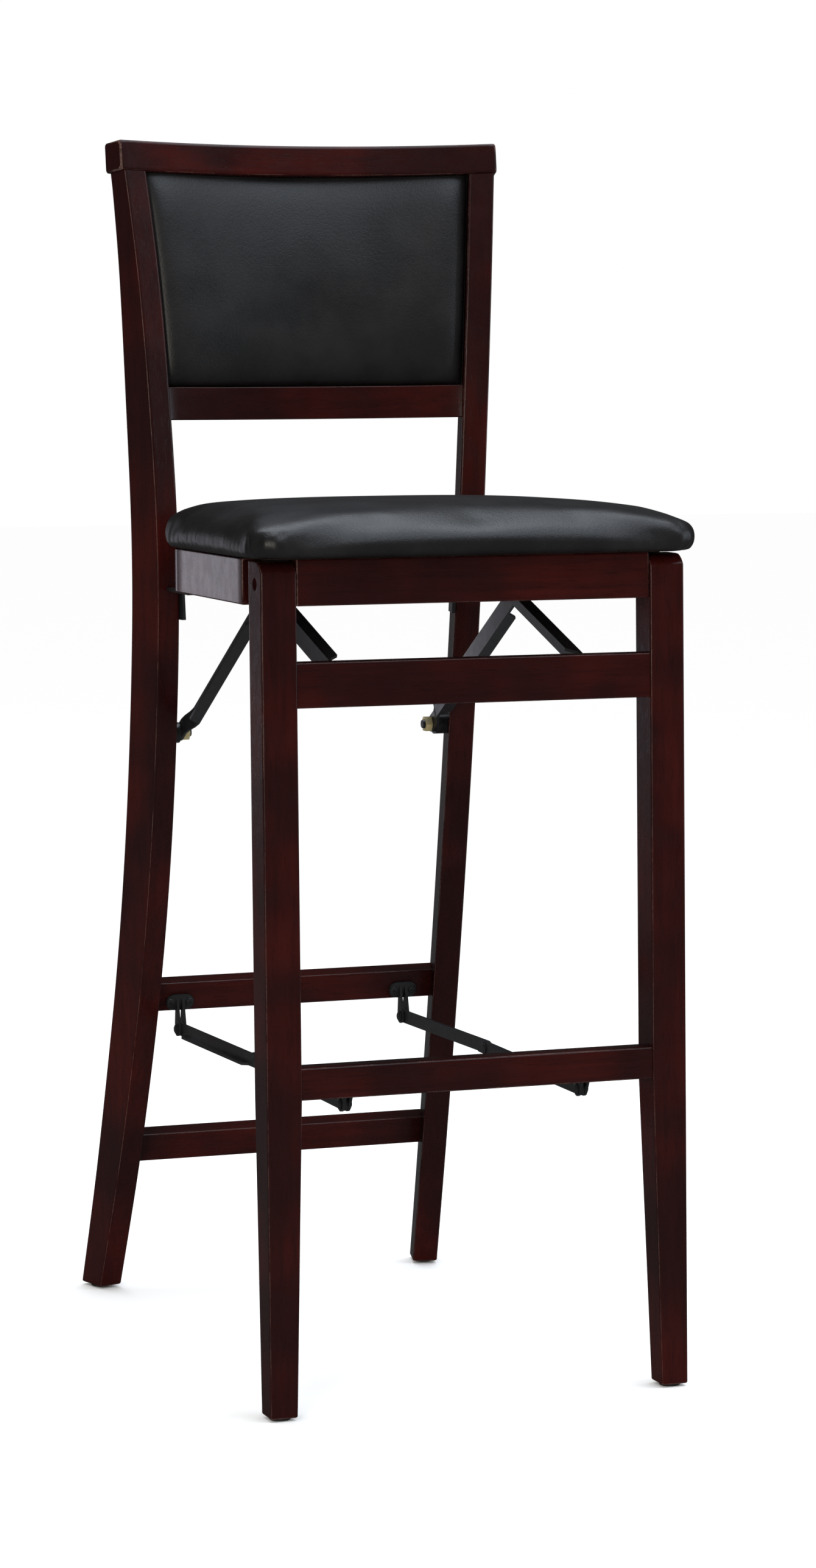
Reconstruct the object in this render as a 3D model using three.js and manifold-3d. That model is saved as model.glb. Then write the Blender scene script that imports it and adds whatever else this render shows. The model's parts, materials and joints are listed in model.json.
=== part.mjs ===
// Folding bar stool: a raked front leg frame, a sabre-legged back frame with a padded barrel back,
// a tipping padded seat, two folding upper links and two knee stays.
// Millimetres, +Z up, the sitter faces -Y. Left and right are as seen from the front.
import * as THREE from 'three';
import { mergeVertices } from 'three/addons/utils/BufferGeometryUtils.js';
import Module from 'manifold-3d';

const wasm = await Module();
wasm.setup();

// Driving dimensions
const running = 0.3;
const overrun = 1;
const glide = { height: 2.5, radius: 9, edge: 0.6 };

const seat = {
  height: 762, padHeight: 45.6, frameHeight: 39.2, rake: THREE.MathUtils.degToRad(1.2),
  frontWidth: 402, rearDraw: 26, sideOverhang: 11, frontOverhang: 19, rearOverhang: 7,
  frontCorner: 34, rearCorner: 62, crown: 17, bulge: 6, boardThickness: 12, boardInset: 13,
};
// How much of the bulge is drawn in, then the height share, up the cushion's side.
const cushionSideShares = [[0.45, 0.2], [0, 0.373], [0.35, 0.52]];
// How wide each ring of the crown is, as a share of the cushion, and the powers of its curve.
const crownRingShares = [1, 0.965, 0.9, 0.8, 0.66, 0.5, 0.34, 0.17];
const crownPower = { across: 3.2, up: 0.8 };

const frontLeg = {
  width: 31, depth: 33, footWidth: 24, footDepth: 25, lean: 0.028, edge: 1.6,
  topAbovePivot: 19, pivotBelowSeatFrame: 20.8,
};
const stretcher = { height: 38, thickness: 17, belowSeatFrame: 46.34, recess: 1.5, edge: 2 };
const footrest = { height: 28, thickness: 20, top: 296.7, recess: 1.5, edge: 3.5 };

const apron = {
  frontThickness: 22, frontRecess: 2, sideThickness: 20, sideGap: 17, sideTaper: 24.3, taperRun: 250,
  cornerRadius: 46, depth: 327, edge: 1.5,
};

const post = {
  thickness: 23.5, turn: THREE.MathUtils.degToRad(15.1), lean: 0.0398, insideLegs: 32.1,
  forwardY: 383.6, forwardBelowSeat: 52, aboveSeat: 286, footSweep: 151.8, depth: 45.4, edge: 2,
};
// Height share, then how far back the front edge lies as a share of the foot's sweep.
const postSweepShares = [
  [0, 1], [0.13, 0.694], [0.28, 0.402], [0.42, 0.2], [0.565, 0.058],
  [0.68, 0], [0.8, 0.019], [0.91, 0.078], [1, 0.171],
];
// Height share, then the board's depth as a share of its greatest depth.
const postDepthShares = [[0, 0.74], [0.235, 0.956], [0.565, 1], [0.8, 0.89], [1, 0.54]];

const topRail = {
  overhang: 23.4, height: 27.5, thickness: 27, bow: 26, rake: THREE.MathUtils.degToRad(8), edge: 3.2,
};
const lowerRail = { aboveSeat: 61.5, height: 29.5, thickness: 18, recess: 5, bow: 20, edge: 2.4 };
const backPad = { boardThickness: 6, thickness: 20, edgeThickness: 11, boardMargin: 3 };
const padPower = { across: 4, up: 6 };
const rearStretcher = {
  height: 27.5, thickness: 18, upperMiddle: 288, lowerMiddle: 139.5, setBack: 19, edge: 1.6,
};

// The upper links: their pivots lie below the seat frame, the rear one behind the posts' most forward line.
const link = {
  insideLegs: 43.6, width: 17, rearEnd: 15, thickness: 2.6, flange: 9, flangeStop: 24,
  joggle: 6.6, joggleRun: 34,
  kneeY: 203, kneeDrop: 6.84, rearBehindPost: 42.4, rearDrop: 142.84, frontY: 26.5, frontDrop: 63.04,
};
const joggleEyeShare = 1.7;
const noseAngle = 0.16;

// The lower stays: their pivots hang in front of the rear stretcher's face and under the footrest.
const stay = {
  insideLegs: 49.6, width: 12, thickness: 2.4, flange: 5.5, flangeStop: 17, tail: 14,
  rearAhead: 3.1, rearDrop: 32, kneeY: 249.7, kneeRise: 3.2, frontY: 27.5, frontDrop: 11.1,
};

const pin = { radius: 2.6, headRadius: 5, headHeight: 1.8 };
const rivet = { radius: 3.6, headRadius: 7, headHeight: 2.2 };
const stud = { radius: 4, collarRadius: 9.5, inPost: 12, spotFace: 3, tip: 5 };
const nut = { acrossFlats: 13, height: 6.2 };
const seatBolt = { radius: 3, headRadius: 4.8, headHeight: 3.6, boreRadius: 5.3, boreDepth: 9, inApron: 26 };
const bracket = { thickness: 2.4, plateWidth: 27, plateHeight: 15.5, earRadius: 6.5, screwSpacing: 12.3 };
const screw = { radius: 1.7, headRadius: 4, headHeight: 1.5, length: 11, socket: 0.7, socketWidth: 0.9 };
// Radius share and height share of a screw's head, and the width share of a pin head's flat crown.
const screwHeadShares = [[0.86, 0.6], [0.5, 1]];
const headCrownShare = 0.6;
const linkBracket = { plateWidth: 26, plateHeight: 30, earRadius: 8.5 };
const plateEndShare = 0.49;
const earRootShare = 0.42;
const seatRest = {
  thickness: 3, underSeat: 22.4, flangeHeight: 30, flangeDepth: 28, shelfWidth: 18, insidePost: 8.4,
};

// Heights and places that follow from the driving dimensions
const crownBehindPivot = (apron.depth + seat.rearOverhang - seat.frontOverhang - frontLeg.depth / 2) / 2;
const crownRise = seat.padHeight * Math.cos(seat.rake) - crownBehindPivot * Math.sin(seat.rake);
const seatFrameTop = seat.height - crownRise;
const seatFrameBottom = seatFrameTop - seat.frameHeight;
const legHalf = seat.frontWidth / 2 - seat.sideOverhang;
const legInner = legHalf - frontLeg.width;
const legFrontAt = (z) => frontLeg.lean * (z - seatFrameBottom);
const pivotZ = seatFrameTop - frontLeg.pivotBelowSeatFrame;
const pivotY = legFrontAt(pivotZ) + frontLeg.depth / 2;
const taperStart = footrest.top - footrest.height;
const stretcherTop = seatFrameBottom - stretcher.belowSeatFrame;

const postOuterX = legHalf - post.insideLegs;
const postForwardZ = seat.height - post.forwardBelowSeat;
const postTop = seat.height + post.aboveSeat;
const lowerRailBottom = seat.height + lowerRail.aboveSeat;

const linkPlaneX = legInner - link.insideLegs;
const stayPlaneX = legInner - stay.insideLegs;
const upperKnee = { y: link.kneeY, z: seatFrameBottom - link.kneeDrop };
const rearLinkPivot = { y: post.forwardY + link.rearBehindPost, z: seatFrameBottom - link.rearDrop };
const frontLinkPivot = { y: link.frontY, z: seatFrameBottom - link.frontDrop };

const finishes = {
  wood: { color: 0x2b1310, roughness: 0.38, metalness: 0 },
  vinyl: { color: 0x1b1817, roughness: 0.42, metalness: 0 },
  plywood: { color: 0x6b5338, roughness: 0.8, metalness: 0 },
  steel: { color: 0x1c1d1f, roughness: 0.45, metalness: 0.6 },
  zinc: { color: 0xb39245, roughness: 0.35, metalness: 0.9 },
  nylon: { color: 0x22201f, roughness: 0.6, metalness: 0 },
};

const stool = new THREE.Group();
const seatGroup = new THREE.Group();
seatGroup.position.set(0, pivotY, pivotZ);
seatGroup.rotation.x = -seat.rake;
stool.add(seatGroup);

function addPart(name, finish, geometry, group = stool) {
  const mesh = new THREE.Mesh(geometry, new THREE.MeshStandardMaterial(finishes[finish]));
  mesh.name = name;
  group.add(mesh);
  return mesh;
}

const sides = [['left', -1], ['right', 1]];

// Solid building

function signedVolume(points, triangles) {
  let sum = 0;
  for (const [a, b, c] of triangles) {
    sum += points[a].dot(new THREE.Vector3().crossVectors(points[b], points[c]));
  }
  return sum;
}

function solidFrom(points, triangles) {
  const outward = signedVolume(points, triangles) > 0;
  const index = triangles.flatMap(([a, b, c]) => (outward ? [a, b, c] : [a, c, b]));
  const geometry = new THREE.BufferGeometry();
  geometry.setAttribute('position', new THREE.Float32BufferAttribute(points.flatMap((p) => p.toArray()), 3));
  geometry.setIndex(index);
  geometry.computeVertexNormals();
  return geometry;
}

// A corner sharper than this share allows isn't moved further when an outline is drawn in.
const cornerShare = 0.4;

// Skins a run of rings of equal length and closes both ends with the triangles of the flat outline.
function loft(rings, outline) {
  const count = outline.length;
  const points = rings.flat();
  const triangles = [];
  for (let k = 0; k + 1 < rings.length; k += 1) {
    for (let i = 0; i < count; i += 1) {
      const [a, b] = [k * count + i, k * count + ((i + 1) % count)];
      triangles.push([a, b, b + count], [a, b + count, a + count]);
    }
  }
  const cap = THREE.ShapeUtils.triangulateShape(outline.map(([x, y]) => new THREE.Vector2(x, y)), []);
  const last = (rings.length - 1) * count;
  for (const [a, b, c] of cap) {
    triangles.push([a, c, b], [last + a, last + b, last + c]);
  }
  return solidFrom(points, triangles);
}

function inset(outline, distance) {
  const count = outline.length;
  return outline.map(([x, y], i) => {
    const before = outline[(i + count - 1) % count];
    const after = outline[(i + 1) % count];
    const first = new THREE.Vector2(before[1] - y, x - before[0]).normalize();
    const second = new THREE.Vector2(y - after[1], after[0] - x).normalize();
    const reach = distance / Math.max(1 + first.dot(second), cornerShare);
    return [x + (first.x + second.x) * reach, y + (first.y + second.y) * reach];
  });
}

// A plate of an anticlockwise outline from one depth to another, its edges rounded in two steps.
function plate(outline, from, to, edge, place) {
  const turn = Math.PI / 4;
  const cut = edge * (1 - Math.sin(turn));
  const layers = [
    [edge, from], [cut, from + cut], [0, from + edge], [0, to - edge], [cut, to - cut], [edge, to],
  ];
  const used = edge > 0 ? layers : [[0, from], [0, to]];
  const rings = used.map(([step, depth]) => inset(outline, step).map(([a, b]) => place(a, b, depth)));
  return loft(rings, outline);
}

const arc = (x, y, radius, start, end, steps) => Array.from({ length: steps + 1 }, (_, i) => {
  const angle = start + (end - start) * i / steps;
  return [x + radius * Math.cos(angle), y + radius * Math.sin(angle)];
});

function roundedRectangle(width, height, radius, steps = 3) {
  const [x, y, quarter] = [width / 2 - radius, height / 2 - radius, Math.PI / 2];
  return [
    ...arc(-x, -y, radius, -2 * quarter, -quarter, steps), ...arc(x, -y, radius, -quarter, 0, steps),
    ...arc(x, y, radius, 0, quarter, steps), ...arc(-x, y, radius, quarter, 2 * quarter, steps),
  ];
}

const alongX = (side) => (y, z, x) => new THREE.Vector3(side * x, y, z);

function lathe(profile, segments = 20) {
  const geometry = new THREE.LatheGeometry(profile.map(([r, h]) => new THREE.Vector2(r, h)), segments);
  geometry.deleteAttribute('normal');
  geometry.deleteAttribute('uv');
  return mergeVertices(geometry);
}

// A turned piece whose axis runs along X: the profile gives radius and x, from the axis back to the axis.
function turnedAlongX(profile, side, y, z, segments = 20) {
  const geometry = lathe(profile, segments);
  geometry.rotateZ(-Math.PI / 2);
  if (side < 0) geometry.rotateY(Math.PI);
  geometry.translate(0, y, z);
  return geometry;
}

const rod = (radius, from, to) => [[0, from], [radius, from], [radius, to], [0, to]];

function toSolid(geometry) {
  const bare = geometry.clone();
  for (const name of ['normal', 'uv']) if (bare.getAttribute(name)) bare.deleteAttribute(name);
  const merged = mergeVertices(bare);
  const vertProperties = new Float32Array(merged.getAttribute('position').array);
  const triVerts = new Uint32Array(merged.index.array);
  return new wasm.Manifold(new wasm.Mesh({ numProp: 3, vertProperties, triVerts }));
}

function fromSolid(solid) {
  const mesh = solid.getMesh();
  const geometry = new THREE.BufferGeometry();
  const positions = new Float32Array(mesh.vertProperties);
  geometry.setAttribute('position', new THREE.Float32BufferAttribute(positions, 3));
  geometry.setIndex(Array.from(mesh.triVerts));
  geometry.computeVertexNormals();
  return geometry;
}

function carve(body, ...tools) {
  return fromSolid(tools.reduce((solid, tool) => solid.subtract(toSolid(tool)), toSolid(body)));
}

function join(body, ...more) {
  return fromSolid(more.reduce((solid, piece) => solid.add(toSolid(piece)), toSolid(body)));
}

// Front leg frame

function legOutline() {
  const frontMeet = Math.asin((frontLeg.depth / 2) / frontLeg.topAbovePivot);
  const steps = 6;
  const rearTop = pivotZ + frontLeg.topAbovePivot;
  const foot = glide.height;
  const crownArc = arc(pivotY, pivotZ, frontLeg.topAbovePivot, Math.PI / 2, Math.PI / 2 + frontMeet, steps);
  return [
    [legFrontAt(foot), foot],
    [legFrontAt(foot) + frontLeg.footDepth, foot],
    [legFrontAt(taperStart) + frontLeg.depth, taperStart],
    [legFrontAt(rearTop) + frontLeg.depth, rearTop],
    ...crownArc,
  ];
}

function frontLegSolid(side) {
  const taper = (z) => Math.max(0, (taperStart - z) / (taperStart - glide.height));
  const place = (y, z, depth) => {
    const drawIn = (frontLeg.width - frontLeg.footWidth) * taper(z);
    const share = depth / frontLeg.width;
    return new THREE.Vector3(side * (legHalf - depth + drawIn * share), y, z);
  };
  const leg = plate(legOutline(), 0, frontLeg.width, frontLeg.edge, place);
  const boreStart = legHalf - seatBolt.boreDepth;
  const wide = rod(seatBolt.boreRadius, boreStart, legHalf + overrun);
  const narrow = rod(seatBolt.radius + running, legInner - overrun, boreStart + overrun);
  return carve(leg, ...[wide, narrow].map((profile) => turnedAlongX(profile, side, pivotY, pivotZ)));
}

// A straight bar between the front legs, its section rounded, set square to the legs' lean.
function frontBar({ height, thickness, recess, edge }, top) {
  const middleZ = top - height / 2;
  const middleY = legFrontAt(middleZ) + recess + thickness / 2;
  const place = (y, z, x) => new THREE.Vector3(x, middleY + y + frontLeg.lean * z, middleZ + z);
  const section = roundedRectangle(thickness, height, edge);
  const half = legInner - running / 2;
  return loft([-half, half].map((x) => section.map(([y, z]) => place(y, z, x))), section);
}

const barRearAt = ({ recess, thickness }, z) => legFrontAt(z) + recess + thickness;

// Back frame

function shareCurve(shares, height, size) {
  const curve = new THREE.SplineCurve(shares.map(([h, s]) => new THREE.Vector2(h * height, s * size)));
  return (z) => {
    let [low, high] = [0, 1];
    for (let i = 0; i < 40; i += 1) {
      const middle = (low + high) / 2;
      if (curve.getPoint(middle).x < z) low = middle;
      else high = middle;
    }
    return curve.getPoint((low + high) / 2).y;
  };
}

const sweepAt = shareCurve(postSweepShares, postTop, post.footSweep);
const depthAt = shareCurve(postDepthShares, postTop, post.depth);

// From the board's own axes (back along the board, up, inward through it) to the stool's.
function postPoint(side, back, z, inward) {
  const out = back * Math.sin(post.turn) - inward * Math.cos(post.turn);
  const x = postOuterX + out + post.lean * (z - postForwardZ);
  const y = post.forwardY + back * Math.cos(post.turn) + inward * Math.sin(post.turn);
  return new THREE.Vector3(side * x, y, z);
}

const postFrontBack = (z) => sweepAt(z) / Math.cos(post.turn);

function postInnerX(y, z) {
  const back = (y - post.forwardY - post.thickness * Math.sin(post.turn)) / Math.cos(post.turn);
  return postPoint(1, back, z, post.thickness).x;
}

const postInnerFrontY = (z) => postPoint(1, postFrontBack(z), z, post.thickness).y;

const slopeShare = 0.02;

function rakeAt(z) {
  const step = slopeShare * postTop;
  return Math.atan2(sweepAt(z + step) - sweepAt(z - step), 2 * step);
}

// The underside of the top rail is one plane, tipped with the back.
const railEndY = post.forwardY + sweepAt(postTop) - running;
const railUndersideAt = (y) => postTop - (y - railEndY) * Math.tan(topRail.rake);

function postOutline() {
  const steps = 22;
  const rise = postTop + topRail.height / 2 - glide.height;
  const heights = Array.from({ length: steps + 1 }, (_, i) => glide.height + rise * i / steps);
  const clamp = (z) => Math.min(z, postTop);
  const front = heights.map((z) => [postFrontBack(clamp(z)), z]);
  const rear = heights.map((z) => [postFrontBack(clamp(z)) + depthAt(clamp(z)), z]);
  return [...rear, ...front.reverse()];
}

const studSeatX = postInnerX(rearLinkPivot.y - stud.collarRadius, rearLinkPivot.z) + stud.spotFace;

function backPostSolid(side) {
  const place = (back, z, inward) => {
    const point = postPoint(side, back, z, inward);
    point.z = Math.min(point.z, railUndersideAt(point.y) - running);
    return point;
  };
  const board = plate(postOutline(), 0, post.thickness, post.edge, place);
  const { y, z } = rearLinkPivot;
  const near = studSeatX - 4 * stud.spotFace;
  return carve(
    board,
    turnedAlongX(rod(stud.collarRadius + running, near, studSeatX), side, y, z),
    turnedAlongX(rod(stud.radius + running, near, studSeatX + stud.inPost), side, y, z),
  );
}

// A bowed rail: section across (back, up) about its middle, tipped by the rake, its ends cut where endX says.
function bowedRail({ section, y, z, rake, bow, steps, endX }) {
  const rings = Array.from({ length: steps + 1 }, (_, i) => {
    const share = -1 + 2 * i / steps;
    return section.map(([back, up]) => {
      const endY = y + back * Math.cos(rake) + up * Math.sin(rake);
      const endZ = z - back * Math.sin(rake) + up * Math.cos(rake);
      const sag = bow * (1 - share * share);
      const x = share * endX(endY, endZ, back);
      return new THREE.Vector3(x, endY + sag * Math.cos(rake), endZ - sag * Math.sin(rake));
    });
  });
  return loft(rings, section);
}

const betweenPosts = (y, z) => postInnerX(y, z) - running;

function topRailSolid() {
  const { rake, bow } = topRail;
  const [back, up] = [topRail.thickness / 2, topRail.height / 2];
  const section = roundedRectangle(topRail.thickness, topRail.height, topRail.edge);
  const y = railEndY + back * Math.cos(rake) + up * Math.sin(rake);
  const z = postTop - back * Math.sin(rake) + up * Math.cos(rake);
  const endX = (_y, _z, depth) => postOuterX + topRail.overhang + (depth + back) * Math.tan(post.turn);
  return bowedRail({ section, y, z, rake, bow, steps: 20, endX });
}

const lowerRailMiddleZ = lowerRailBottom + lowerRail.height / 2;
const lowerRake = rakeAt(lowerRailMiddleZ);
const lowerRailFrontY = postInnerFrontY(lowerRailMiddleZ) + lowerRail.recess;

function lowerRailSolid() {
  const section = roundedRectangle(lowerRail.thickness, lowerRail.height, lowerRail.edge);
  return bowedRail({
    section, y: lowerRailFrontY + lowerRail.thickness / 2, z: lowerRailMiddleZ, rake: lowerRake,
    bow: lowerRail.bow, steps: 16, endX: betweenPosts,
  });
}

// Middle of a rear stretcher's depth at a height.
const stretcherY = (z) => postInnerFrontY(z) + rearStretcher.setBack + rearStretcher.thickness / 2;

function rearStretcherSolid(z) {
  const section = roundedRectangle(rearStretcher.thickness, rearStretcher.height, rearStretcher.edge);
  return bowedRail({ section, y: stretcherY(z), z, rake: rakeAt(z), bow: 0, steps: 1, endX: betweenPosts });
}

// The padded back: heights run from the lower rail to the top rail, shares of the width from side to side.
const padBottom = lowerRailBottom + lowerRail.height * Math.cos(lowerRake) + 2 * running;
const padTopFrontY = postInnerFrontY(postTop);
const padTop = railUndersideAt(padTopFrontY) - 2 * running;

function padPlace(share, rise, depth) {
  const z = padBottom + (padTop - padBottom) * rise;
  const frontY = postInnerFrontY(z) + lowerRail.recess;
  const bow = lowerRail.bow + (topRail.bow - lowerRail.bow) * rise;
  const y = frontY + depth + bow * (1 - share * share);
  const edgeX = postInnerX(frontY + depth, z) - 2 * running;
  const lift = (y - padTopFrontY) * Math.tan(topRail.rake) * rise;
  return new THREE.Vector3(share * edgeX, y, z - lift);
}

function gridSolid(columns, rows, front, rear) {
  const points = [];
  for (const face of [front, rear]) {
    for (let j = 0; j <= rows; j += 1) {
      for (let i = 0; i <= columns; i += 1) points.push(face(-1 + 2 * i / columns, j / rows));
    }
  }
  const at = (layer, i, j) => layer * (columns + 1) * (rows + 1) + j * (columns + 1) + i;
  const triangles = [];
  const quad = (a, b, c, d) => triangles.push([a, b, c], [a, c, d]);
  for (let j = 0; j < rows; j += 1) {
    for (let i = 0; i < columns; i += 1) {
      quad(at(0, i, j), at(0, i + 1, j), at(0, i + 1, j + 1), at(0, i, j + 1));
      quad(at(1, i, j), at(1, i, j + 1), at(1, i + 1, j + 1), at(1, i + 1, j));
    }
  }
  for (let i = 0; i < columns; i += 1) {
    quad(at(0, i + 1, 0), at(0, i, 0), at(1, i, 0), at(1, i + 1, 0));
    quad(at(0, i, rows), at(0, i + 1, rows), at(1, i + 1, rows), at(1, i, rows));
  }
  for (let j = 0; j < rows; j += 1) {
    quad(at(0, 0, j), at(0, 0, j + 1), at(1, 0, j + 1), at(1, 0, j));
    quad(at(0, columns, j + 1), at(0, columns, j), at(1, columns, j), at(1, columns, j + 1));
  }
  return solidFrom(points, triangles);
}

// How full the pad is at a place: nothing at its rim, rising on a round shoulder to one in the middle.
function padFullness(share, rise) {
  const across = 1 - Math.abs(share) ** padPower.across;
  const up = 1 - Math.abs(2 * rise - 1) ** padPower.up;
  return Math.sqrt(Math.max(0, across * up));
}

function backPadSolid() {
  const base = backPad.edgeThickness;
  const front = (share, rise) => padPlace(share, rise, base - backPad.thickness * padFullness(share, rise));
  const rear = (share, rise) => padPlace(share, rise, base + running);
  return gridSolid(14, 16, front, rear);
}

function backBoardSolid() {
  const start = backPad.edgeThickness + 2 * running;
  const margin = backPad.boardMargin / (postOuterX - post.thickness);
  const inner = (share, rise, depth) => padPlace(
    share * (1 - margin), margin + rise * (1 - 2 * margin), depth);
  const front = (share, rise) => inner(share, rise, start);
  const rear = (share, rise) => inner(share, rise, start + backPad.boardThickness);
  return gridSolid(10, 6, front, rear);
}

// Seat, drawn about its pivot and tipped back a little as one group

const boardUnderside = frontLeg.pivotBelowSeatFrame;
const seatFront = -pivotY - seat.frontOverhang;
const seatRear = apron.depth + seat.rearOverhang;

function seatOutline(shrink) {
  const [front, rear] = [seatFront + shrink, seatRear - shrink];
  const [frontHalf, rearHalf] = [seat.frontWidth / 2 - shrink, seat.frontWidth / 2 - seat.rearDraw - shrink];
  const [frontRadius, rearRadius] = [seat.frontCorner - shrink, seat.rearCorner - shrink];
  const quarter = Math.PI / 2;
  return [
    ...arc(-frontHalf + frontRadius, front + frontRadius, frontRadius, -2 * quarter, -quarter, 6),
    ...arc(frontHalf - frontRadius, front + frontRadius, frontRadius, -quarter, 0, 6),
    ...arc(rearHalf - rearRadius, rear - rearRadius, rearRadius, 0, quarter, 8),
    ...arc(-rearHalf + rearRadius, rear - rearRadius, rearRadius, quarter, 2 * quarter, 8),
  ];
}

function seatBoardSolid(grow = 0) {
  const top = boardUnderside + seat.boardThickness + grow;
  return plate(seatOutline(seat.boardInset - grow), boardUnderside - grow, top, 0, flat);
}

function seatCushionSolid() {
  const height = seat.padHeight;
  const rim = boardUnderside + height - seat.crown;
  const ringAt = (shrink, z) => seatOutline(shrink).map(([x, y]) => new THREE.Vector3(x, y, z));
  const rings = [ringAt(seat.bulge, boardUnderside + running)];
  for (const [drawn, rise] of cushionSideShares) {
    rings.push(ringAt(seat.bulge * drawn, boardUnderside + rise * height));
  }
  const centreY = (seatFront + seatRear) / 2;
  const start = seatOutline(seat.bulge);
  for (const share of crownRingShares) {
    const z = rim + seat.crown * (1 - share ** crownPower.across) ** crownPower.up;
    rings.push(start.map(([x, y]) => new THREE.Vector3(x * share, centreY + (y - centreY) * share, z)));
  }
  return carve(loft(rings, seatOutline(0)), seatBoardSolid(running));
}

const apronBottom = boardUnderside - seat.frameHeight;
const flat = (x, y, z) => new THREE.Vector3(x, y, z);

// A board that stands on edge across the seat frame, from one depth to another.
function crossApron(half, front, rear) {
  const outline = [[-half, front], [half, front], [half, rear], [-half, rear]];
  return plate(outline, apronBottom, boardUnderside - running, apron.edge, flat);
}

function frontApronSolid() {
  const half = legInner - 2 * running;
  const front = -pivotY + apron.frontRecess;
  const body = crossApron(half, front, front + apron.frontThickness);
  const holes = sides.map(([, side]) => turnedAlongX(
    rod(seatBolt.radius + running, half - seatBolt.inApron - overrun, half + overrun), side, 0, 0));
  return carve(body, ...holes);
}

// Plan of a side apron: a straight tapering run from behind the leg, then the rounded rear corner.
function sideApronPlan() {
  const start = frontLeg.depth / 2 + apron.sideGap;
  const slope = Math.atan2(apron.sideTaper, apron.taperRun);
  const radius = apron.cornerRadius;
  const centreY = apron.depth - radius;
  const outerAt = (y) => legHalf - (y - start) * Math.tan(slope);
  const centreX = outerAt(centreY) - radius / Math.cos(slope) + radius * Math.sin(slope) * Math.tan(slope);
  const outer = arc(centreX, centreY, radius, -slope, Math.PI / 2, 8);
  const inner = arc(centreX, centreY, radius - apron.sideThickness, Math.PI / 2, -slope, 6);
  return {
    outline: [[legHalf - apron.sideThickness / Math.cos(slope), start], [legHalf, start], ...outer, ...inner],
    endX: centreX,
  };
}

function sideApronSolid(side) {
  const place = (x, y, z) => new THREE.Vector3(side * x, y, z);
  return plate(sideApronPlan().outline, apronBottom, boardUnderside - running, apron.edge, place);
}

function rearApronSolid() {
  return crossApron(sideApronPlan().endX - running, apron.depth - apron.sideThickness, apron.depth);
}

// Links and stays: bars in the plane of the fold, each with an eye at both ends and a stiffening flange
const between = (a, b) => Math.hypot(b.y - a.y, b.z - a.z);

// A flat bar of stations along its length, rounded at both ends, with a rib along its lower or upper edge.
function bar({
  from, to, fromRadius, toRadius, nearX, thickness, flange, flangeStop, outward,
  tail = 0, joggle = 0, joggleRun = 0,
}) {
  const length = between(from, to);
  const [cos, sin] = [(to.y - from.y) / length, (to.z - from.z) / length];
  const eyeEnd = joggleEyeShare * fromRadius;
  const shift = (along) => {
    const share = joggle > 0 ? THREE.MathUtils.clamp((joggleRun - along) / (joggleRun - eyeEnd), 0, 1) : 0;
    return joggle * share * share * (3 - 2 * share);
  };
  const place = (along, across, x) => new THREE.Vector3(
    x + shift(along), from.y + along * cos - across * sin, from.z + along * sin + across * cos);
  const steps = 6;
  const angles = Array.from(
    { length: steps + 1 }, (_, i) => THREE.MathUtils.lerp(noseAngle, Math.PI / 2, i / steps));
  const round = (centre, radius, way) => angles.map(
    (angle) => [centre + way * radius * Math.cos(angle), radius * Math.sin(angle)]);
  const bends = joggle > 0 ? [0, 1 / 3, 2 / 3, 1] : [];
  const stops = bends.map((share) => [
    THREE.MathUtils.lerp(eyeEnd, joggleRun, share), THREE.MathUtils.lerp(fromRadius, toRadius, share)]);
  const stations = [...round(0, fromRadius, -1), ...stops, ...round(length + tail, toRadius, 1).reverse()];
  const section = [[-1, nearX], [1, nearX], [1, nearX + thickness], [-1, nearX + thickness]];
  const web = loft(
    stations.map(([along, half]) => section.map(([way, x]) => place(along, way * half, x))), section);
  const start = Math.max(flangeStop, joggleRun);
  const stop = length - flangeStop;
  const reach = outward ? nearX + thickness + flange : nearX - flange;
  const root = nearX + thickness / 2;
  const flangeOutline = [[start, root], [stop, root], [stop - flange, reach], [start + flange, reach]];
  const ordered = outward ? flangeOutline : flangeOutline.reverse();
  const rib = plate(
    ordered, toRadius - thickness, toRadius, 0, (along, x, across) => place(along, across, x));
  return join(web, rib);
}

// The same form on the other side of the stool.
const mirrored = (geometry, side) => {
  if (side > 0) return geometry;
  const points = [];
  const position = geometry.getAttribute('position');
  for (let i = 0; i < position.count; i += 1) {
    points.push(new THREE.Vector3(-position.getX(i), position.getY(i), position.getZ(i)));
  }
  const triangles = [];
  for (let i = 0; i < geometry.index.count; i += 3) {
    triangles.push([0, 1, 2].map((k) => geometry.index.getX(i + k)));
  }
  return solidFrom(points, triangles);
};

const eye = (pivot, radius, from, to) => turnedAlongX(rod(radius, from, to), 1, pivot.y, pivot.z);

const rearLinkX = linkPlaneX + running / 2;
const frontLinkX = linkPlaneX - running / 2 - link.thickness;
const rearStayX = stayPlaneX + running / 2;
const frontStayX = stayPlaneX - running / 2 - stay.thickness;

const rearStayPivot = {
  y: stretcherY(rearStretcher.upperMiddle) - rearStretcher.thickness / 2 - stay.rearAhead,
  z: rearStretcher.upperMiddle - stay.rearDrop,
};
const frontStayPivot = { y: stay.frontY, z: footrest.top - footrest.height - stay.frontDrop };
const stayKnee = { y: stay.kneeY, z: rearStayPivot.z + stay.kneeRise };

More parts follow.
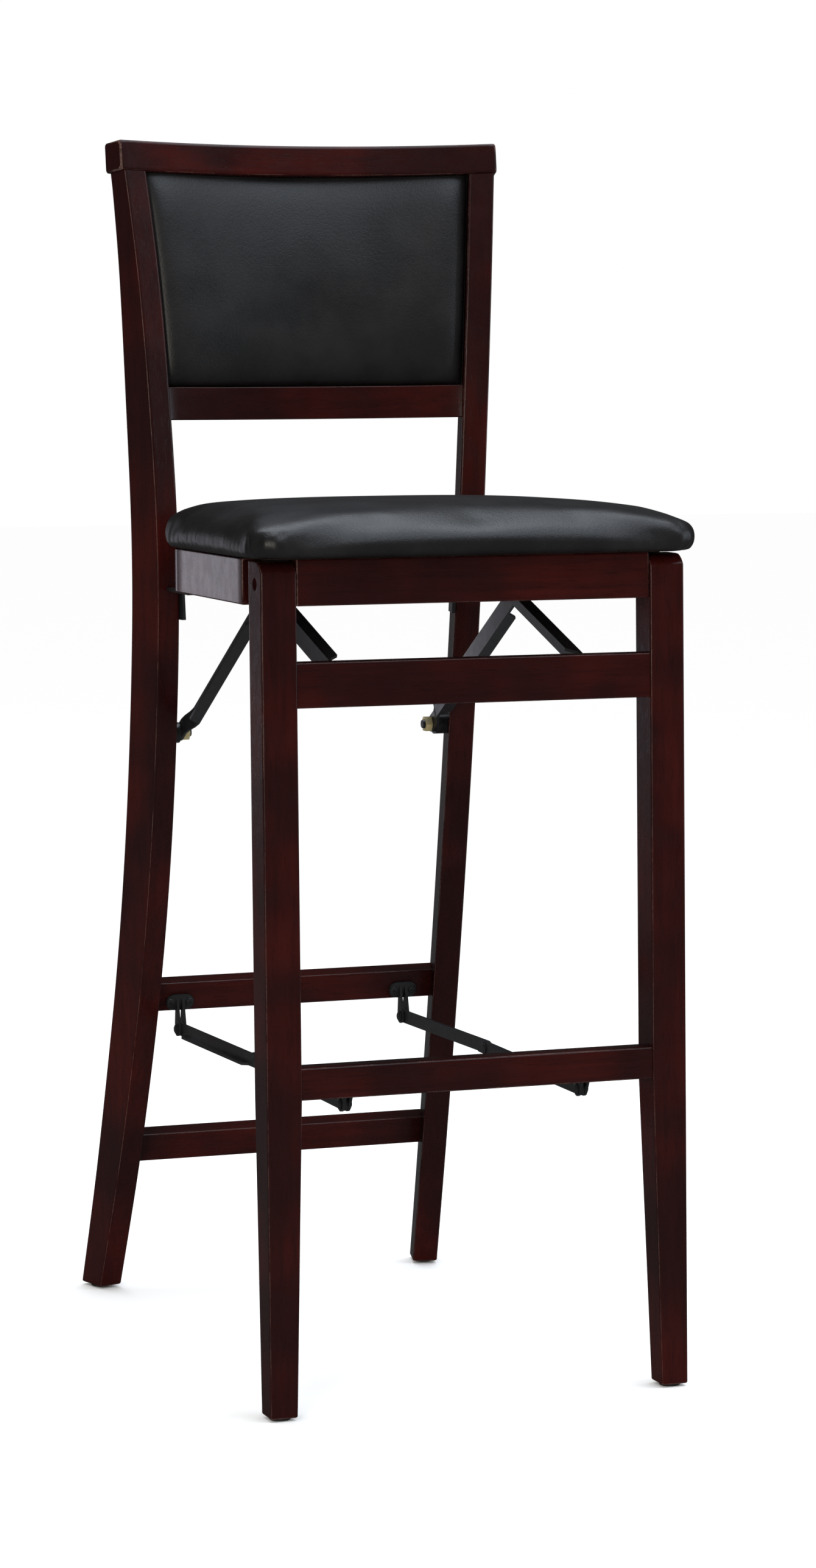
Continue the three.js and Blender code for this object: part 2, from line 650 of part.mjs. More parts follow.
function rearLinkSolid(side) {
  const body = bar({
    from: rearLinkPivot, to: upperKnee, fromRadius: link.rearEnd / 2, toRadius: link.width / 2,
    nearX: rearLinkX, thickness: link.thickness, flange: link.flange, flangeStop: link.flangeStop,
    outward: true, joggle: link.joggle, joggleRun: link.joggleRun,
  });
  const [near, far] = [rearLinkX - overrun, rearLinkX + link.joggle + link.thickness + overrun];
  const rearEye = eye(rearLinkPivot, stud.radius + running, near, far);
  return mirrored(carve(body, rearEye, eye(upperKnee, rivet.radius + running, near, far)), side);
}

function frontLinkSolid(side) {
  const body = bar({
    from: frontLinkPivot, to: upperKnee, fromRadius: link.width / 2, toRadius: link.width / 2,
    nearX: frontLinkX, thickness: link.thickness, flange: link.flange, flangeStop: link.flangeStop,
    outward: false,
  });
  const [near, far] = [frontLinkX - overrun, frontLinkX + link.thickness + overrun];
  const frontEye = eye(frontLinkPivot, pin.radius + running, near, far);
  return mirrored(carve(body, frontEye, eye(upperKnee, rivet.radius + running, near, far)), side);
}

// A round-headed pin along X through whatever lies between two faces.
function pinSolid(side, pivot, { radius, headRadius, headHeight }, from, to, heads = [true, true]) {
  const end = (x, way, head) => (head ? [
    [0, x + way * headHeight], [headCrownShare * headRadius, x + way * headHeight],
    [headRadius, x + way * headHeight / 3], [headRadius, x], [radius, x],
  ] : [[0, x], [radius, x]]);
  const profile = [...end(from, -1, heads[0]), ...end(to, 1, heads[1]).reverse()];
  return turnedAlongX(profile, side, pivot.y, pivot.z, 18);
}

function rearStaySolid(side) {
  const body = bar({
    from: rearStayPivot, to: stayKnee, fromRadius: stay.width / 2, toRadius: stay.width / 2,
    nearX: rearStayX, thickness: stay.thickness, flange: stay.flange, flangeStop: stay.flangeStop,
    outward: true,
  });
  const far = rearStayX + stay.thickness;
  const dome = turnedAlongX([
    [0, far - overrun], [pin.headRadius, far - overrun], [pin.headRadius, far + pin.headHeight / 2],
    [headCrownShare * pin.headRadius, far + pin.headHeight], [0, far + pin.headHeight],
  ], 1, stayKnee.y, stayKnee.z, 18);
  const hole = eye(rearStayPivot, pin.radius + running, rearStayX - overrun, far + overrun);
  return mirrored(carve(join(body, dome), hole), side);
}

function frontStaySolid(side) {
  const body = bar({
    from: frontStayPivot, to: stayKnee, fromRadius: stay.width / 2, toRadius: stay.width / 2,
    nearX: frontStayX, thickness: stay.thickness, flange: stay.flange, flangeStop: stay.flangeStop,
    outward: false, tail: stay.tail,
  });
  const [near, far] = [frontStayX - overrun, frontStayX + stay.thickness + overrun];
  const eyes = [frontStayPivot, stayKnee].map((pivot) => eye(pivot, pin.radius + running, near, far));
  return mirrored(carve(body, ...eyes), side);
}

// Brackets and screws sit on the sloping faces of rails: up runs along the face, out stands off it
const faceFrame = ([y, z], rake, facing) => ({ y, z, rake, facing });

function onFace({ y, z, rake, facing }, up, out) {
  return [
    y + facing * out * Math.cos(rake) + up * Math.sin(rake),
    z + up * Math.cos(rake) - facing * out * Math.sin(rake),
  ];
}

function turnOnto(geometry, face, x, out) {
  if (face.facing < 0) geometry.rotateX(Math.PI);
  geometry.rotateX(-face.rake);
  const [y, z] = onFace(face, 0, out);
  geometry.translate(x, y, z);
  return geometry;
}

// A plate with rounded ends flat on a face.
function facePlate(face, middleX, { plateWidth, plateHeight, thickness }) {
  const radius = plateEndShare * Math.min(plateWidth, plateHeight);
  const outline = roundedRectangle(plateWidth, plateHeight, radius, 4);
  const place = (x, up, out) => {
    const [y, z] = onFace(face, up, out);
    return new THREE.Vector3(middleX + x, y, z);
  };
  return plate(outline, running, running + thickness, 0, place);
}

// An ear in the plane of the fold: a strap from a plate on a face down to a round eye.
function earPlate(face, { plateHeight, thickness, earRadius }, pivot, nearX) {
  const root = onFace(face, 0, running + thickness / 2);
  const heading = Math.atan2(pivot.z - root[1], pivot.y - root[0]);
  const round = arc(pivot.y, pivot.z, earRadius, heading - Math.PI / 2, heading + Math.PI / 2, 8);
  const rootHalf = earRootShare * plateHeight;
  const ends = [1, -1].map((way) => onFace(face, way * face.facing * rootHalf, running + thickness / 2));
  return plate([...round, ...ends], nearX, nearX + thickness, 0, alongX(1));
}

// A cross-head screw: a domed head with its cross socket, and a pointed shank.
function screwSolid(face, x, out) {
  const { headRadius, headHeight, radius, length, socket, socketWidth } = screw;
  const dome = screwHeadShares.map(([across, up]) => [across * headRadius, up * headHeight]);
  const shank = [[0, -length], [radius, -length + 2 * radius], [radius, 0], [headRadius, 0]];
  const profile = [...shank, ...dome, [0, headHeight]];
  const arm = headRadius / 2;
  const slots = [[arm, socketWidth / 2], [socketWidth / 2, arm]].map(([a, b]) => plate(
    [[-a, -b], [a, -b], [a, b], [-a, b]], headHeight - socket, headHeight + overrun, 0,
    (p, q, h) => new THREE.Vector3(p, h, q)));
  return turnOnto(carve(lathe(profile, 12), ...slots), face, x, out);
}

function screwHole(face, x) {
  const drill = rod(screw.radius + running, -screw.length - overrun, 3 * bracket.thickness);
  return turnOnto(lathe(drill, 12), face, x, 0);
}
const screwOffset = (bracket.screwSpacing + bracket.earRadius) / 2;
const screwOut = bracket.thickness + 2 * running;

// The rear bracket hangs the stay from the upper rear stretcher's front face.
const stretcherRake = rakeAt(rearStretcher.upperMiddle);
const stretcherCentre = [stretcherY(rearStretcher.upperMiddle), rearStretcher.upperMiddle];
const rearPlateUp = (bracket.plateHeight - rearStretcher.height) / 2 + rearStretcher.edge;
const rearPlateX = rearStayX + stay.thickness / 2;
const stretcherMiddle = faceFrame(stretcherCentre, stretcherRake, -1);
const rearFace = faceFrame(
  onFace(stretcherMiddle, rearPlateUp, rearStretcher.thickness / 2), stretcherRake, -1);
const rearEarsX = [rearStayX - running - bracket.thickness, rearStayX + stay.thickness + running];

function rearStayBracketSolid(side) {
  const ears = rearEarsX.map((x) => earPlate(rearFace, bracket, rearStayPivot, x));
  const holes = [-screwOffset, screwOffset].map((x) => screwHole(rearFace, rearPlateX + x));
  const [near, far] = [rearPlateX - bracket.plateWidth, rearPlateX + bracket.plateWidth];
  const bore = eye(rearStayPivot, pin.radius + running, near, far);
  return mirrored(carve(join(facePlate(rearFace, rearPlateX, bracket), ...ears), bore, ...holes), side);
}

// The front bracket holds the stay behind and under the footrest.
const footrestLean = Math.atan(frontLeg.lean);
const frontPlateZ = footrest.top - footrest.height / 2;
const frontPlateX = frontStayX + stay.thickness / 2;
const frontFace = faceFrame([barRearAt(footrest, frontPlateZ), frontPlateZ], footrestLean, 1);
const frontEarsX = [frontStayX - running - bracket.thickness, frontStayX + stay.thickness + running];

function frontStayBracketSolid(side) {
  const ears = frontEarsX.map((x) => earPlate(frontFace, bracket, frontStayPivot, x));
  const [near, far] = [frontPlateX - bracket.plateWidth, frontPlateX + bracket.plateWidth];
  const bore = eye(frontStayPivot, pin.radius + running, near, far);
  const body = join(facePlate(frontFace, frontPlateX, bracket), ...ears);
  return mirrored(carve(body, bore, screwHole(frontFace, frontPlateX + screwOffset)), side);
}

const footrestHoles = sides.map(([, side]) => screwHole(frontFace, side * (frontPlateX + screwOffset)));
const stretcherHoles = sides.flatMap(
  ([, side]) => [-screwOffset, screwOffset].map((x) => screwHole(rearFace, side * (rearPlateX + x))));

// The link bracket stands on the front stretcher's rear face.
const linkPlateZ = stretcherTop - stretcher.height / 2;
const linkEarX = frontLinkX - running - bracket.thickness;
const linkPlateX = linkEarX + bracket.thickness - linkBracket.plateWidth / 2;
const linkFace = faceFrame([barRearAt(stretcher, linkPlateZ), linkPlateZ], footrestLean, 1);

function linkBracketSolid(side) {
  const sizes = { ...linkBracket, thickness: bracket.thickness };
  const base = facePlate(linkFace, linkPlateX, sizes);
  const strap = earPlate(linkFace, sizes, frontLinkPivot, linkEarX);
  const [near, far] = [linkEarX - overrun, linkEarX + bracket.thickness + overrun];
  const bore = eye(frontLinkPivot, pin.radius + running, near, far);
  return mirrored(carve(join(base, strap), bore), side);
}

// The seat rest: a shelf in front of the post under the seat frame's rear corner, bent from a flange
// that lies along the post's inner face.
const restTop = pivotZ + (apronBottom * Math.cos(seat.rake) - apron.depth * Math.sin(seat.rake)) - running;

function seatRestSolid(side) {
  const { thickness, underSeat, flangeHeight, flangeDepth, shelfWidth, insidePost } = seatRest;
  const shelfOuterX = postOuterX - insidePost;
  const front = postFrontBack(restTop);
  const flangeInward = post.thickness + running;
  const corner = (back, inward) => postPoint(1, front + back, restTop, inward);
  const flange = plate([
    [front - thickness, restTop - flangeHeight], [front + flangeDepth, restTop - flangeHeight],
    [front + flangeDepth, restTop], [front - thickness, restTop],
  ], flangeInward, flangeInward + thickness, 0, (back, z, inward) => postPoint(side, back, z, inward));
  const edgeInward = insidePost / Math.cos(post.turn);
  const bend = [
    corner(-2 * running, edgeInward), corner(-2 * running, flangeInward),
    corner(thickness, flangeInward + thickness / 2), corner(thickness, flangeInward + thickness),
  ].map(({ x, y }) => [x, y]);
  const tipY = pivotY + apron.depth - underSeat;
  const shelf = plate(
    [[shelfOuterX - shelfWidth, tipY], [shelfOuterX, tipY], ...bend],
    restTop - thickness, restTop, 0, (x, y, z) => new THREE.Vector3(side * x, y, z),
  );
  return join(shelf, flange);
}

// Bolts and nuts

const studTipX = linkPlaneX + link.joggle - nut.height - stud.tip + link.thickness;
const collarStartX = rearLinkX + link.joggle + link.thickness + running;

function linkStudSolid(side) {
  const { radius, collarRadius, inPost } = stud;
  const collarEnd = studSeatX - running;
  const profile = [
    [0, studTipX], [radius - running, studTipX], [radius, studTipX + 2 * running], [radius, collarStartX],
    [collarRadius, collarStartX], [collarRadius, collarEnd], [radius, collarEnd],
    [radius, studSeatX + inPost - overrun], [0, studSeatX + inPost - overrun],
  ];
  return turnedAlongX(profile, side, rearLinkPivot.y, rearLinkPivot.z);
}

function linkNutSolid(side) {
  const end = rearLinkX + link.joggle - running;
  const radius = nut.acrossFlats / Math.sqrt(3);
  const hexagon = arc(rearLinkPivot.y, rearLinkPivot.z, radius, 0, 5 * Math.PI / 3, 5);
  const body = plate(hexagon, end - nut.height, end, running, alongX(1));
  const bore = eye(rearLinkPivot, stud.radius + running, end - nut.height - overrun, end + overrun);
  return mirrored(carve(body, bore), side);
}

function seatBoltSolid(side) {
  const { radius, headRadius, headHeight, boreDepth, inApron } = seatBolt;
  const underHead = legHalf - boreDepth + running;
  const profile = [
    ...rod(radius, legInner - 2 * running - inApron, underHead).slice(0, -1),
    [headRadius, underHead], [headRadius, underHead + headHeight], [0, underHead + headHeight],
  ];
  return turnedAlongX(profile, side, pivotY, pivotZ);
}

function glideSolid(x, y) {
  const { radius, edge, height } = glide;
  const profile = [[0, 0], [radius - edge, 0], [radius, edge], [radius, height], [0, height]];
  const geometry = lathe(profile, 24);
  geometry.rotateX(Math.PI / 2);
  geometry.translate(x, y, 0);
  return geometry;
}

// Assembly

addPart('top_rail', 'wood', topRailSolid());
addPart('lower_back_rail', 'wood', lowerRailSolid());
addPart('back_board', 'plywood', backBoardSolid());
addPart('back_pad', 'vinyl', backPadSolid());
const upperStretcher = rearStretcherSolid(rearStretcher.upperMiddle);
addPart('rear_upper_stretcher', 'wood', carve(upperStretcher, ...stretcherHoles));
addPart('rear_lower_stretcher', 'wood', rearStretcherSolid(rearStretcher.lowerMiddle));
addPart('front_upper_stretcher', 'wood', frontBar(stretcher, stretcherTop));
addPart('footrest_rail', 'wood', carve(frontBar(footrest, footrest.top), ...footrestHoles));

addPart('seat_board', 'plywood', seatBoardSolid(), seatGroup);
addPart('seat_cushion', 'vinyl', seatCushionSolid(), seatGroup);
addPart('seat_front_apron', 'wood', frontApronSolid(), seatGroup);
addPart('seat_rear_apron', 'wood', rearApronSolid(), seatGroup);

for (const [label, side] of sides) {
  addPart(`back_post_${label}`, 'wood', backPostSolid(side));
  addPart(`front_leg_${label}`, 'wood', frontLegSolid(side));
  addPart(`seat_side_apron_${label}`, 'wood', sideApronSolid(side), seatGroup);
  addPart(`seat_rest_${label}`, 'steel', seatRestSolid(side));
  addPart(`seat_bolt_${label}`, 'steel', seatBoltSolid(side));

  addPart(`upper_rear_link_${label}`, 'steel', rearLinkSolid(side));
  addPart(`upper_front_link_${label}`, 'steel', frontLinkSolid(side));
  addPart(`upper_knee_rivet_${label}`, 'steel', pinSolid(
    side, upperKnee, rivet, frontLinkX - running, rearLinkX + link.thickness + running));
  addPart(`rear_link_stud_${label}`, 'steel', linkStudSolid(side));
  addPart(`rear_link_nut_${label}`, 'zinc', linkNutSolid(side));
  addPart(`front_link_bracket_${label}`, 'steel', linkBracketSolid(side));
  addPart(`front_link_pin_${label}`, 'steel', pinSolid(
    side, frontLinkPivot, pin, linkEarX - running, frontLinkX + link.thickness + running));

  addPart(`rear_stay_${label}`, 'steel', rearStaySolid(side));
  addPart(`front_stay_${label}`, 'steel', frontStaySolid(side));
  addPart(`stay_knee_pin_${label}`, 'steel', pinSolid(
    side, stayKnee, pin, frontStayX - running, frontStayX + stay.thickness, [true, false]));
  addPart(`rear_stay_bracket_${label}`, 'steel', rearStayBracketSolid(side));
  addPart(`front_stay_bracket_${label}`, 'steel', frontStayBracketSolid(side));
  addPart(`rear_stay_pin_${label}`, 'steel', pinSolid(
    side, rearStayPivot, pin, rearEarsX[0] - running, rearEarsX[1] + bracket.thickness + running));
  addPart(`front_stay_pin_${label}`, 'steel', pinSolid(
    side, frontStayPivot, pin, frontEarsX[0] - running, frontEarsX[1] + bracket.thickness + running));

  for (const [place, offset] of [['inner', -screwOffset], ['outer', screwOffset]]) {
    const x = side * (rearPlateX + offset);
    addPart(`rear_bracket_screw_${place}_${label}`, 'steel', screwSolid(rearFace, x, screwOut));
  }
  const screwX = side * (frontPlateX + screwOffset);
  addPart(`front_bracket_screw_${label}`, 'steel', screwSolid(frontFace, screwX, screwOut));

  const legFootX = side * (legHalf - frontLeg.footWidth / 2);
  addPart(`front_glide_${label}`, 'nylon', glideSolid(legFootX, legFrontAt(0) + frontLeg.footDepth / 2));
  const heel = postPoint(side, postFrontBack(0) + depthAt(0) / 2, 0, post.thickness / 2);
  addPart(`rear_glide_${label}`, 'nylon', glideSolid(heel.x, heel.y));
}

// The origin lies on the floor under the middle of the stool's depth.
stool.updateMatrixWorld(true);
const extent = new THREE.Box3().setFromObject(stool, true);
stool.position.y = -(extent.min.y + extent.max.y) / 2;
stool.updateMatrixWorld(true);

export default stool;
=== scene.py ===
import json
import math
from contextlib import contextmanager

import bmesh
import bpy
import numpy as np
from mathutils import Matrix, Vector


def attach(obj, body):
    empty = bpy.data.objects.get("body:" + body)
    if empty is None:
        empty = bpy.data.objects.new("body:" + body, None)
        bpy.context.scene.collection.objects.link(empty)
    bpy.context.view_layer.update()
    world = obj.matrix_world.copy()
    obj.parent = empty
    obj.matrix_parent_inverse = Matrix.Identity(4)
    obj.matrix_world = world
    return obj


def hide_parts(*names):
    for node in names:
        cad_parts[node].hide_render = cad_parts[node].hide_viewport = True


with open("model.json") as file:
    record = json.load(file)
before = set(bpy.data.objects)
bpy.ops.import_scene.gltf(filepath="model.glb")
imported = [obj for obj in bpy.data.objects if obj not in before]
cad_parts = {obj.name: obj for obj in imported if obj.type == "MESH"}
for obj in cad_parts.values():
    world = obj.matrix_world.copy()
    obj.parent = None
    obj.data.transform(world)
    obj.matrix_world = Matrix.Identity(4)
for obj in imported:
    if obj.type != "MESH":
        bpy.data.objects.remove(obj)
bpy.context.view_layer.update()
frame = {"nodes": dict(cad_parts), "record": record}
MM = 0.001

# Sizes in metres: X across, Y back from the front legs' face, Z up. FLOOR_SHIFT centres the finished points.
# RUNNING is the play between pieces of wood, TIGHT the play round the back pad, and SPARE is trimmed off.

FLOOR_SHIFT = -276.849 * MM
RUNNING = 0.3 * MM
TIGHT = 0.1 * MM
SPARE, RAIL_SPARE = 8 * MM, 6 * MM
GLIDE_HEIGHT = 2.5 * MM

# Seat and seat frame

SEAT_HEIGHT = 762 * MM
SEAT_RAKE = math.radians(1.2)
SEAT_FRONT_WIDTH, SEAT_REAR_WIDTH = 402 * MM, 350 * MM
FRONT_OVERHANG, REAR_OVERHANG = 19 * MM, 7 * MM
PAD_HEIGHT = 45.6 * MM
FRAME_HEIGHT = 39.2 * MM
PIVOT_DROP = 20.8 * MM
APRON_DEPTH, APRON_THICKNESS, APRON_ARRIS = 327 * MM, 20 * MM, 1.6 * MM
APRON_SLOPE = math.atan2(24.3, 250)
CORNER_RADIUS = 46 * MM
FRONT_APRON_Y, FRONT_APRON_THICKNESS = 13 * MM, 22 * MM

# Front frame

LEG_HALF = 190 * MM
LEG_WIDTH, LEG_DEPTH, LEG_ARRIS = 31 * MM, 33 * MM, 1.7 * MM
FOOT_WIDTH, FOOT_DEPTH = 24 * MM, 25 * MM
LEG_LEAN = 0.028
LEG_TAPER_TOP = 268.7 * MM
LEG_TOP_RADIUS, LEG_TOP_FLAT = 19 * MM, math.radians(9)
BOLT_HOLE, BOLT_RECESS, RECESS_DEPTH = 3.3 * MM, 5.3 * MM, 9 * MM
BAR_SET_BACK = 1.5 * MM
FRONT_BARS = (  # piece, node, top, height, thickness, arris radius
    ("stretcher_front", "front_upper_stretcher", 634 * MM, 38 * MM, 17 * MM, 1.8 * MM),
    ("footrest", "footrest_rail", 296.7 * MM, 28 * MM, 20 * MM, 3.4 * MM),
)

# Back frame; the posts' curves are given as shares of the height and of the sweep or depth

POST_TOP, POST_DEPTH, FOOT_SWEEP = 1048 * MM, 45.4 * MM, 151.8 * MM
POST_THICKNESS, POST_ARRIS = 23.5 * MM, 2 * MM
POST_TURN = math.radians(15.1)
POST_LEAN = 0.0398
POST_OUTER_X, POST_FORWARD_Y, POST_FORWARD_Z = 157.9 * MM, 383.6 * MM, 710 * MM
SWEEP_SHARES = ((0, 1), (0.13, 0.694), (0.28, 0.402), (0.42, 0.2), (0.565, 0.058), (0.68, 0),
                (0.8, 0.019), (0.91, 0.078), (1, 0.171))
DEPTH_SHARES = ((0, 0.74), (0.235, 0.956), (0.565, 1), (0.8, 0.89), (1, 0.54))
RAIL_HALF, RAIL_HEIGHT, RAIL_THICKNESS = 181.3 * MM, 27.5 * MM, 27 * MM
RAIL_BOW, RAIL_ARRIS = 26 * MM, 2.6 * MM
RAIL_RAKE = math.radians(8)
LOWER_BOTTOM, LOWER_HEIGHT, LOWER_THICKNESS = 823.5 * MM, 29.5 * MM, 18 * MM
LOWER_RECESS, LOWER_BOW, LOWER_ARRIS = 5 * MM, 20 * MM, MM
PAD_EDGE, PAD_CROWN = 11 * MM, 20 * MM
STRETCHER_HEIGHT, STRETCHER_THICKNESS = 27.5 * MM, 18 * MM
STRETCHER_SET_BACK, STRETCHER_ARRIS = 19 * MM, 1.6 * MM
REAR_STRETCHERS = (  # piece, node, height of its middle
    ("stretcher_rear_upper", "rear_upper_stretcher", 288 * MM),
    ("stretcher_rear_lower", "rear_lower_stretcher", 139.5 * MM),
)

# Steps along each piece's path

POST_STEPS, RAIL_STEPS, LOWER_STEPS, STRETCHER_STEPS, BAR_STEPS = 64, 49, 41, 13, 15
FOOT_STEPS, LEG_STEPS, CROWN_STEPS = 14, 24, 9
APRON_STEPS, BEND_STEPS = 14, 17
CURVE_STEPS = 40

SIDES = (("left", -1), ("right", 1))
X_AXIS, Y_AXIS, Z_AXIS = np.eye(3)


# Curves and places shared by several pieces

def clamp(value):
    """The value held between 0 and 1."""
    return np.clip(value, 0, 1)


def circle(angle):
    """Points of the unit circle: the cosine and the sine of each angle."""
    return np.stack((np.cos(angle), np.sin(angle)), axis=-1)


def share_curve(shares, height, size):
    """A Catmull-Rom curve through the shares, as a function of height.

    Between two points it is a cubic that leaves and arrives along half the line between their neighbours.
    """
    points = np.array(shares) * (height, size)
    padded = np.vstack((points[:1], points, points[-1:]))
    t = np.linspace(0, 1, CURVE_STEPS, endpoint=False)[:, None]
    pieces = []
    for before, first, second, after in zip(padded, padded[1:], padded[2:], padded[3:]):
        leave, arrive = (second - before) / 2, (after - first) / 2
        pieces.append((2 * first - 2 * second + leave + arrive) * t ** 3
                      + (3 * second - 3 * first - 2 * leave - arrive) * t ** 2 + leave * t + first)
    path = np.vstack((*pieces, points[-1:]))
    return lambda z: np.interp(z, path[:, 0], path[:, 1])


CROWN_BEHIND = (APRON_DEPTH + REAR_OVERHANG - FRONT_OVERHANG - LEG_DEPTH / 2) / 2
FRAME_TOP = SEAT_HEIGHT - PAD_HEIGHT * math.cos(SEAT_RAKE) + CROWN_BEHIND * math.sin(SEAT_RAKE)
FRAME_BOTTOM = FRAME_TOP - FRAME_HEIGHT


def leg_front(z):
    """The front legs' front face leans: its Y falls by the lean for each metre below the seat frame."""
    return LEG_LEAN * (z - FRAME_BOTTOM)


PIVOT_Z = FRAME_TOP - PIVOT_DROP
PIVOT_Y = leg_front(PIVOT_Z) + LEG_DEPTH / 2


def seat_tilt(points):
    """Turns points drawn about the seat's pivot by the rake and carries them to the pivot."""
    cos, sin = math.cos(SEAT_RAKE), math.sin(SEAT_RAKE)
    x, y, z = np.moveaxis(points, -1, 0)
    return np.stack((x, PIVOT_Y + y * cos + z * sin, PIVOT_Z - y * sin + z * cos), axis=-1)


post_sweep = share_curve(SWEEP_SHARES, POST_TOP, FOOT_SWEEP)
post_depth = share_curve(DEPTH_SHARES, POST_TOP, POST_DEPTH)


def post_point(back, z, inward):
    """A point of the right post.

    back runs along the turned board, inward runs through its thickness, and X grows with Z by the lean.
    """
    x = (POST_OUTER_X + back * math.sin(POST_TURN) - inward * math.cos(POST_TURN)
         + POST_LEAN * (z - POST_FORWARD_Z))
    y = POST_FORWARD_Y + back * math.cos(POST_TURN) + inward * math.sin(POST_TURN)
    return np.stack(np.broadcast_arrays(x, y, z), axis=-1)


def post_inner_x(y, z):
    """X of the post's inner face at a depth and a height."""
    back = (y - POST_FORWARD_Y - POST_THICKNESS * math.sin(POST_TURN)) / math.cos(POST_TURN)
    return post_point(back, z, POST_THICKNESS)[..., 0]


def post_inner_front(z):
    """Y of the post's inner front arris at a height."""
    return post_point(post_sweep(z) / math.cos(POST_TURN), z, POST_THICKNESS)[..., 1]


def rake_at(z):
    """The slope of the post's front edge at a height, as an angle."""
    step = POST_TOP / 50
    return math.atan2(post_sweep(z + step) - post_sweep(z - step), 2 * step)


def raked_axes(rake):
    """The backward and the upward axis of a piece tipped back by the rake."""
    return np.array((0, math.cos(rake), -math.sin(rake))), np.array((0, math.sin(rake), math.cos(rake)))


RAIL_END_Y = POST_FORWARD_Y + float(post_sweep(POST_TOP)) - RUNNING
LOWER_Z = LOWER_BOTTOM + LOWER_HEIGHT / 2
LOWER_Y = float(post_inner_front(LOWER_Z)) + LOWER_RECESS + LOWER_THICKNESS / 2


def rail_underside(y):
    """Height of the top rail's underside at a depth, one plane tipped with the back."""
    return POST_TOP - (y - RAIL_END_Y) * math.tan(RAIL_RAKE)


def lower_rail_top(y):
    """Height of the lower rail's top face at a depth, one plane raked like the rail."""
    rake = rake_at(LOWER_Z)
    back = y - LOWER_Y - LOWER_HEIGHT / 2 * math.sin(rake)
    return LOWER_Z + LOWER_HEIGHT / 2 * math.cos(rake) - back * math.tan(rake)


# Meshes

def new_piece(name, points, faces, shift=FLOOR_SHIFT):
    """A mesh object at the origin from an array of points and a list of faces, shifted along Y."""
    mesh = bpy.data.meshes.new(name)
    placed = np.asarray(points, dtype=float).reshape(-1, 3) + (0, shift, 0)
    mesh.from_pydata(placed.tolist(), [], faces)
    mesh.update()
    piece = bpy.data.objects.new(name, mesh)
    bpy.context.scene.collection.objects.link(piece)
    return piece


def grid_faces(rows, columns, closed=True):
    """Quads between the points of a grid, row by row, the last column joined to the first if it is closed."""
    across = columns if closed else columns - 1
    row, column = np.divmod(np.arange((rows - 1) * across), across)
    right = (column + 1) % columns
    return np.stack((row * columns + column, row * columns + right,
                     (row + 1) * columns + right, (row + 1) * columns + column), axis=-1)


def capped_faces(rows, columns):
    """The quads of a closed grid, and a face over its first ring and its last."""
    first, last = np.arange(columns), np.arange((rows - 1) * columns, rows * columns)
    return [*grid_faces(rows, columns).tolist(), first[::-1].tolist(), last.tolist()]


@contextmanager
def edited(piece):
    """Opens the piece's mesh for bmesh work and writes it back."""
    work = bmesh.new()
    work.from_mesh(piece.data)
    yield work
    work.to_mesh(piece.data)
    work.free()


def outward(piece):
    """Turns every face of a closed piece to point out."""
    with edited(piece) as work:
        bmesh.ops.recalc_face_normals(work, faces=work.faces)


def merge(piece, distance=0.01 * MM):
    """Joins points that lie on each other."""
    with edited(piece) as work:
        bmesh.ops.remove_doubles(work, verts=work.verts, dist=distance)
        bmesh.ops.dissolve_degenerate(work, edges=work.edges, dist=distance)


def harden(piece, degrees=32):
    """Smooth shading, but with a hard edge wherever two faces meet at more than the angle."""
    piece.data.shade_smooth()
    with edited(piece) as work:
        for edge in work.edges:
            edge.smooth = len(edge.link_faces) == 2 and edge.calc_face_angle(0) < math.radians(degrees)


def apply_modifiers(piece):
    """Puts what the modifiers make into the mesh, and takes the modifiers off."""
    made = bpy.data.meshes.new_from_object(piece.evaluated_get(bpy.context.evaluated_depsgraph_get()))
    piece.modifiers.clear()
    old, piece.data = piece.data, made
    bpy.data.meshes.remove(old)


def modified(piece, kind, **settings):
    """Adds one modifier with its settings and puts its result into the mesh."""
    modifier = piece.modifiers.new(kind.lower(), kind)
    for name, value in settings.items():
        setattr(modifier, name, value)
    apply_modifiers(piece)


def vertex_array(piece, name):
    """One vector of every vertex, its place (co) or its normal, as an array."""
    flat = np.empty(len(piece.data.vertices) * 3)
    piece.data.vertices.foreach_get(name, flat)
    return flat.reshape(-1, 3)


def set_points(piece, points):
    """Moves the piece's vertices to the points."""
    piece.data.vertices.foreach_set("co", np.asarray(points).ravel())
    piece.data.update()


def dressed(piece, body, node, finish):
    """Rides the piece on its body, lets it stand for its node and gives it its finish."""
    piece.data.materials.clear()
    piece.data.materials.append(finish)
    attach(piece, body)
    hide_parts(node)
    return piece


# Wooden bars

ARC_STEPS = 4
SUPPORT = 0.9 * MM
ARRIS_SHARES = (0.02, 0.98)


def rounded_section():
    """A rectangle's outline with round arrises, one row a point.

    It gives the signs of the point's corner, its offset in arris radii, its offset in support widths, and how
    near it lies to the arris's middle, which is the sine of twice the angle turned.
    """
    start = np.arange(4)[:, None] * math.pi / 2
    turn = np.concatenate(([0], np.linspace(0, math.pi / 2, ARC_STEPS + 1), [math.pi / 2]))
    signs = np.repeat(np.sign(circle(start + math.pi / 4)), len(turn), axis=1)
    radii = circle(start + turn) - signs
    supports = np.zeros_like(radii)
    supports[:, :1] = -circle(start + math.pi / 2)
    supports[:, -1:] = circle(start + math.pi)
    return signs.reshape(-1, 2), radii.reshape(-1, 2), supports.reshape(-1, 2), np.tile(np.sin(2 * turn), 4)


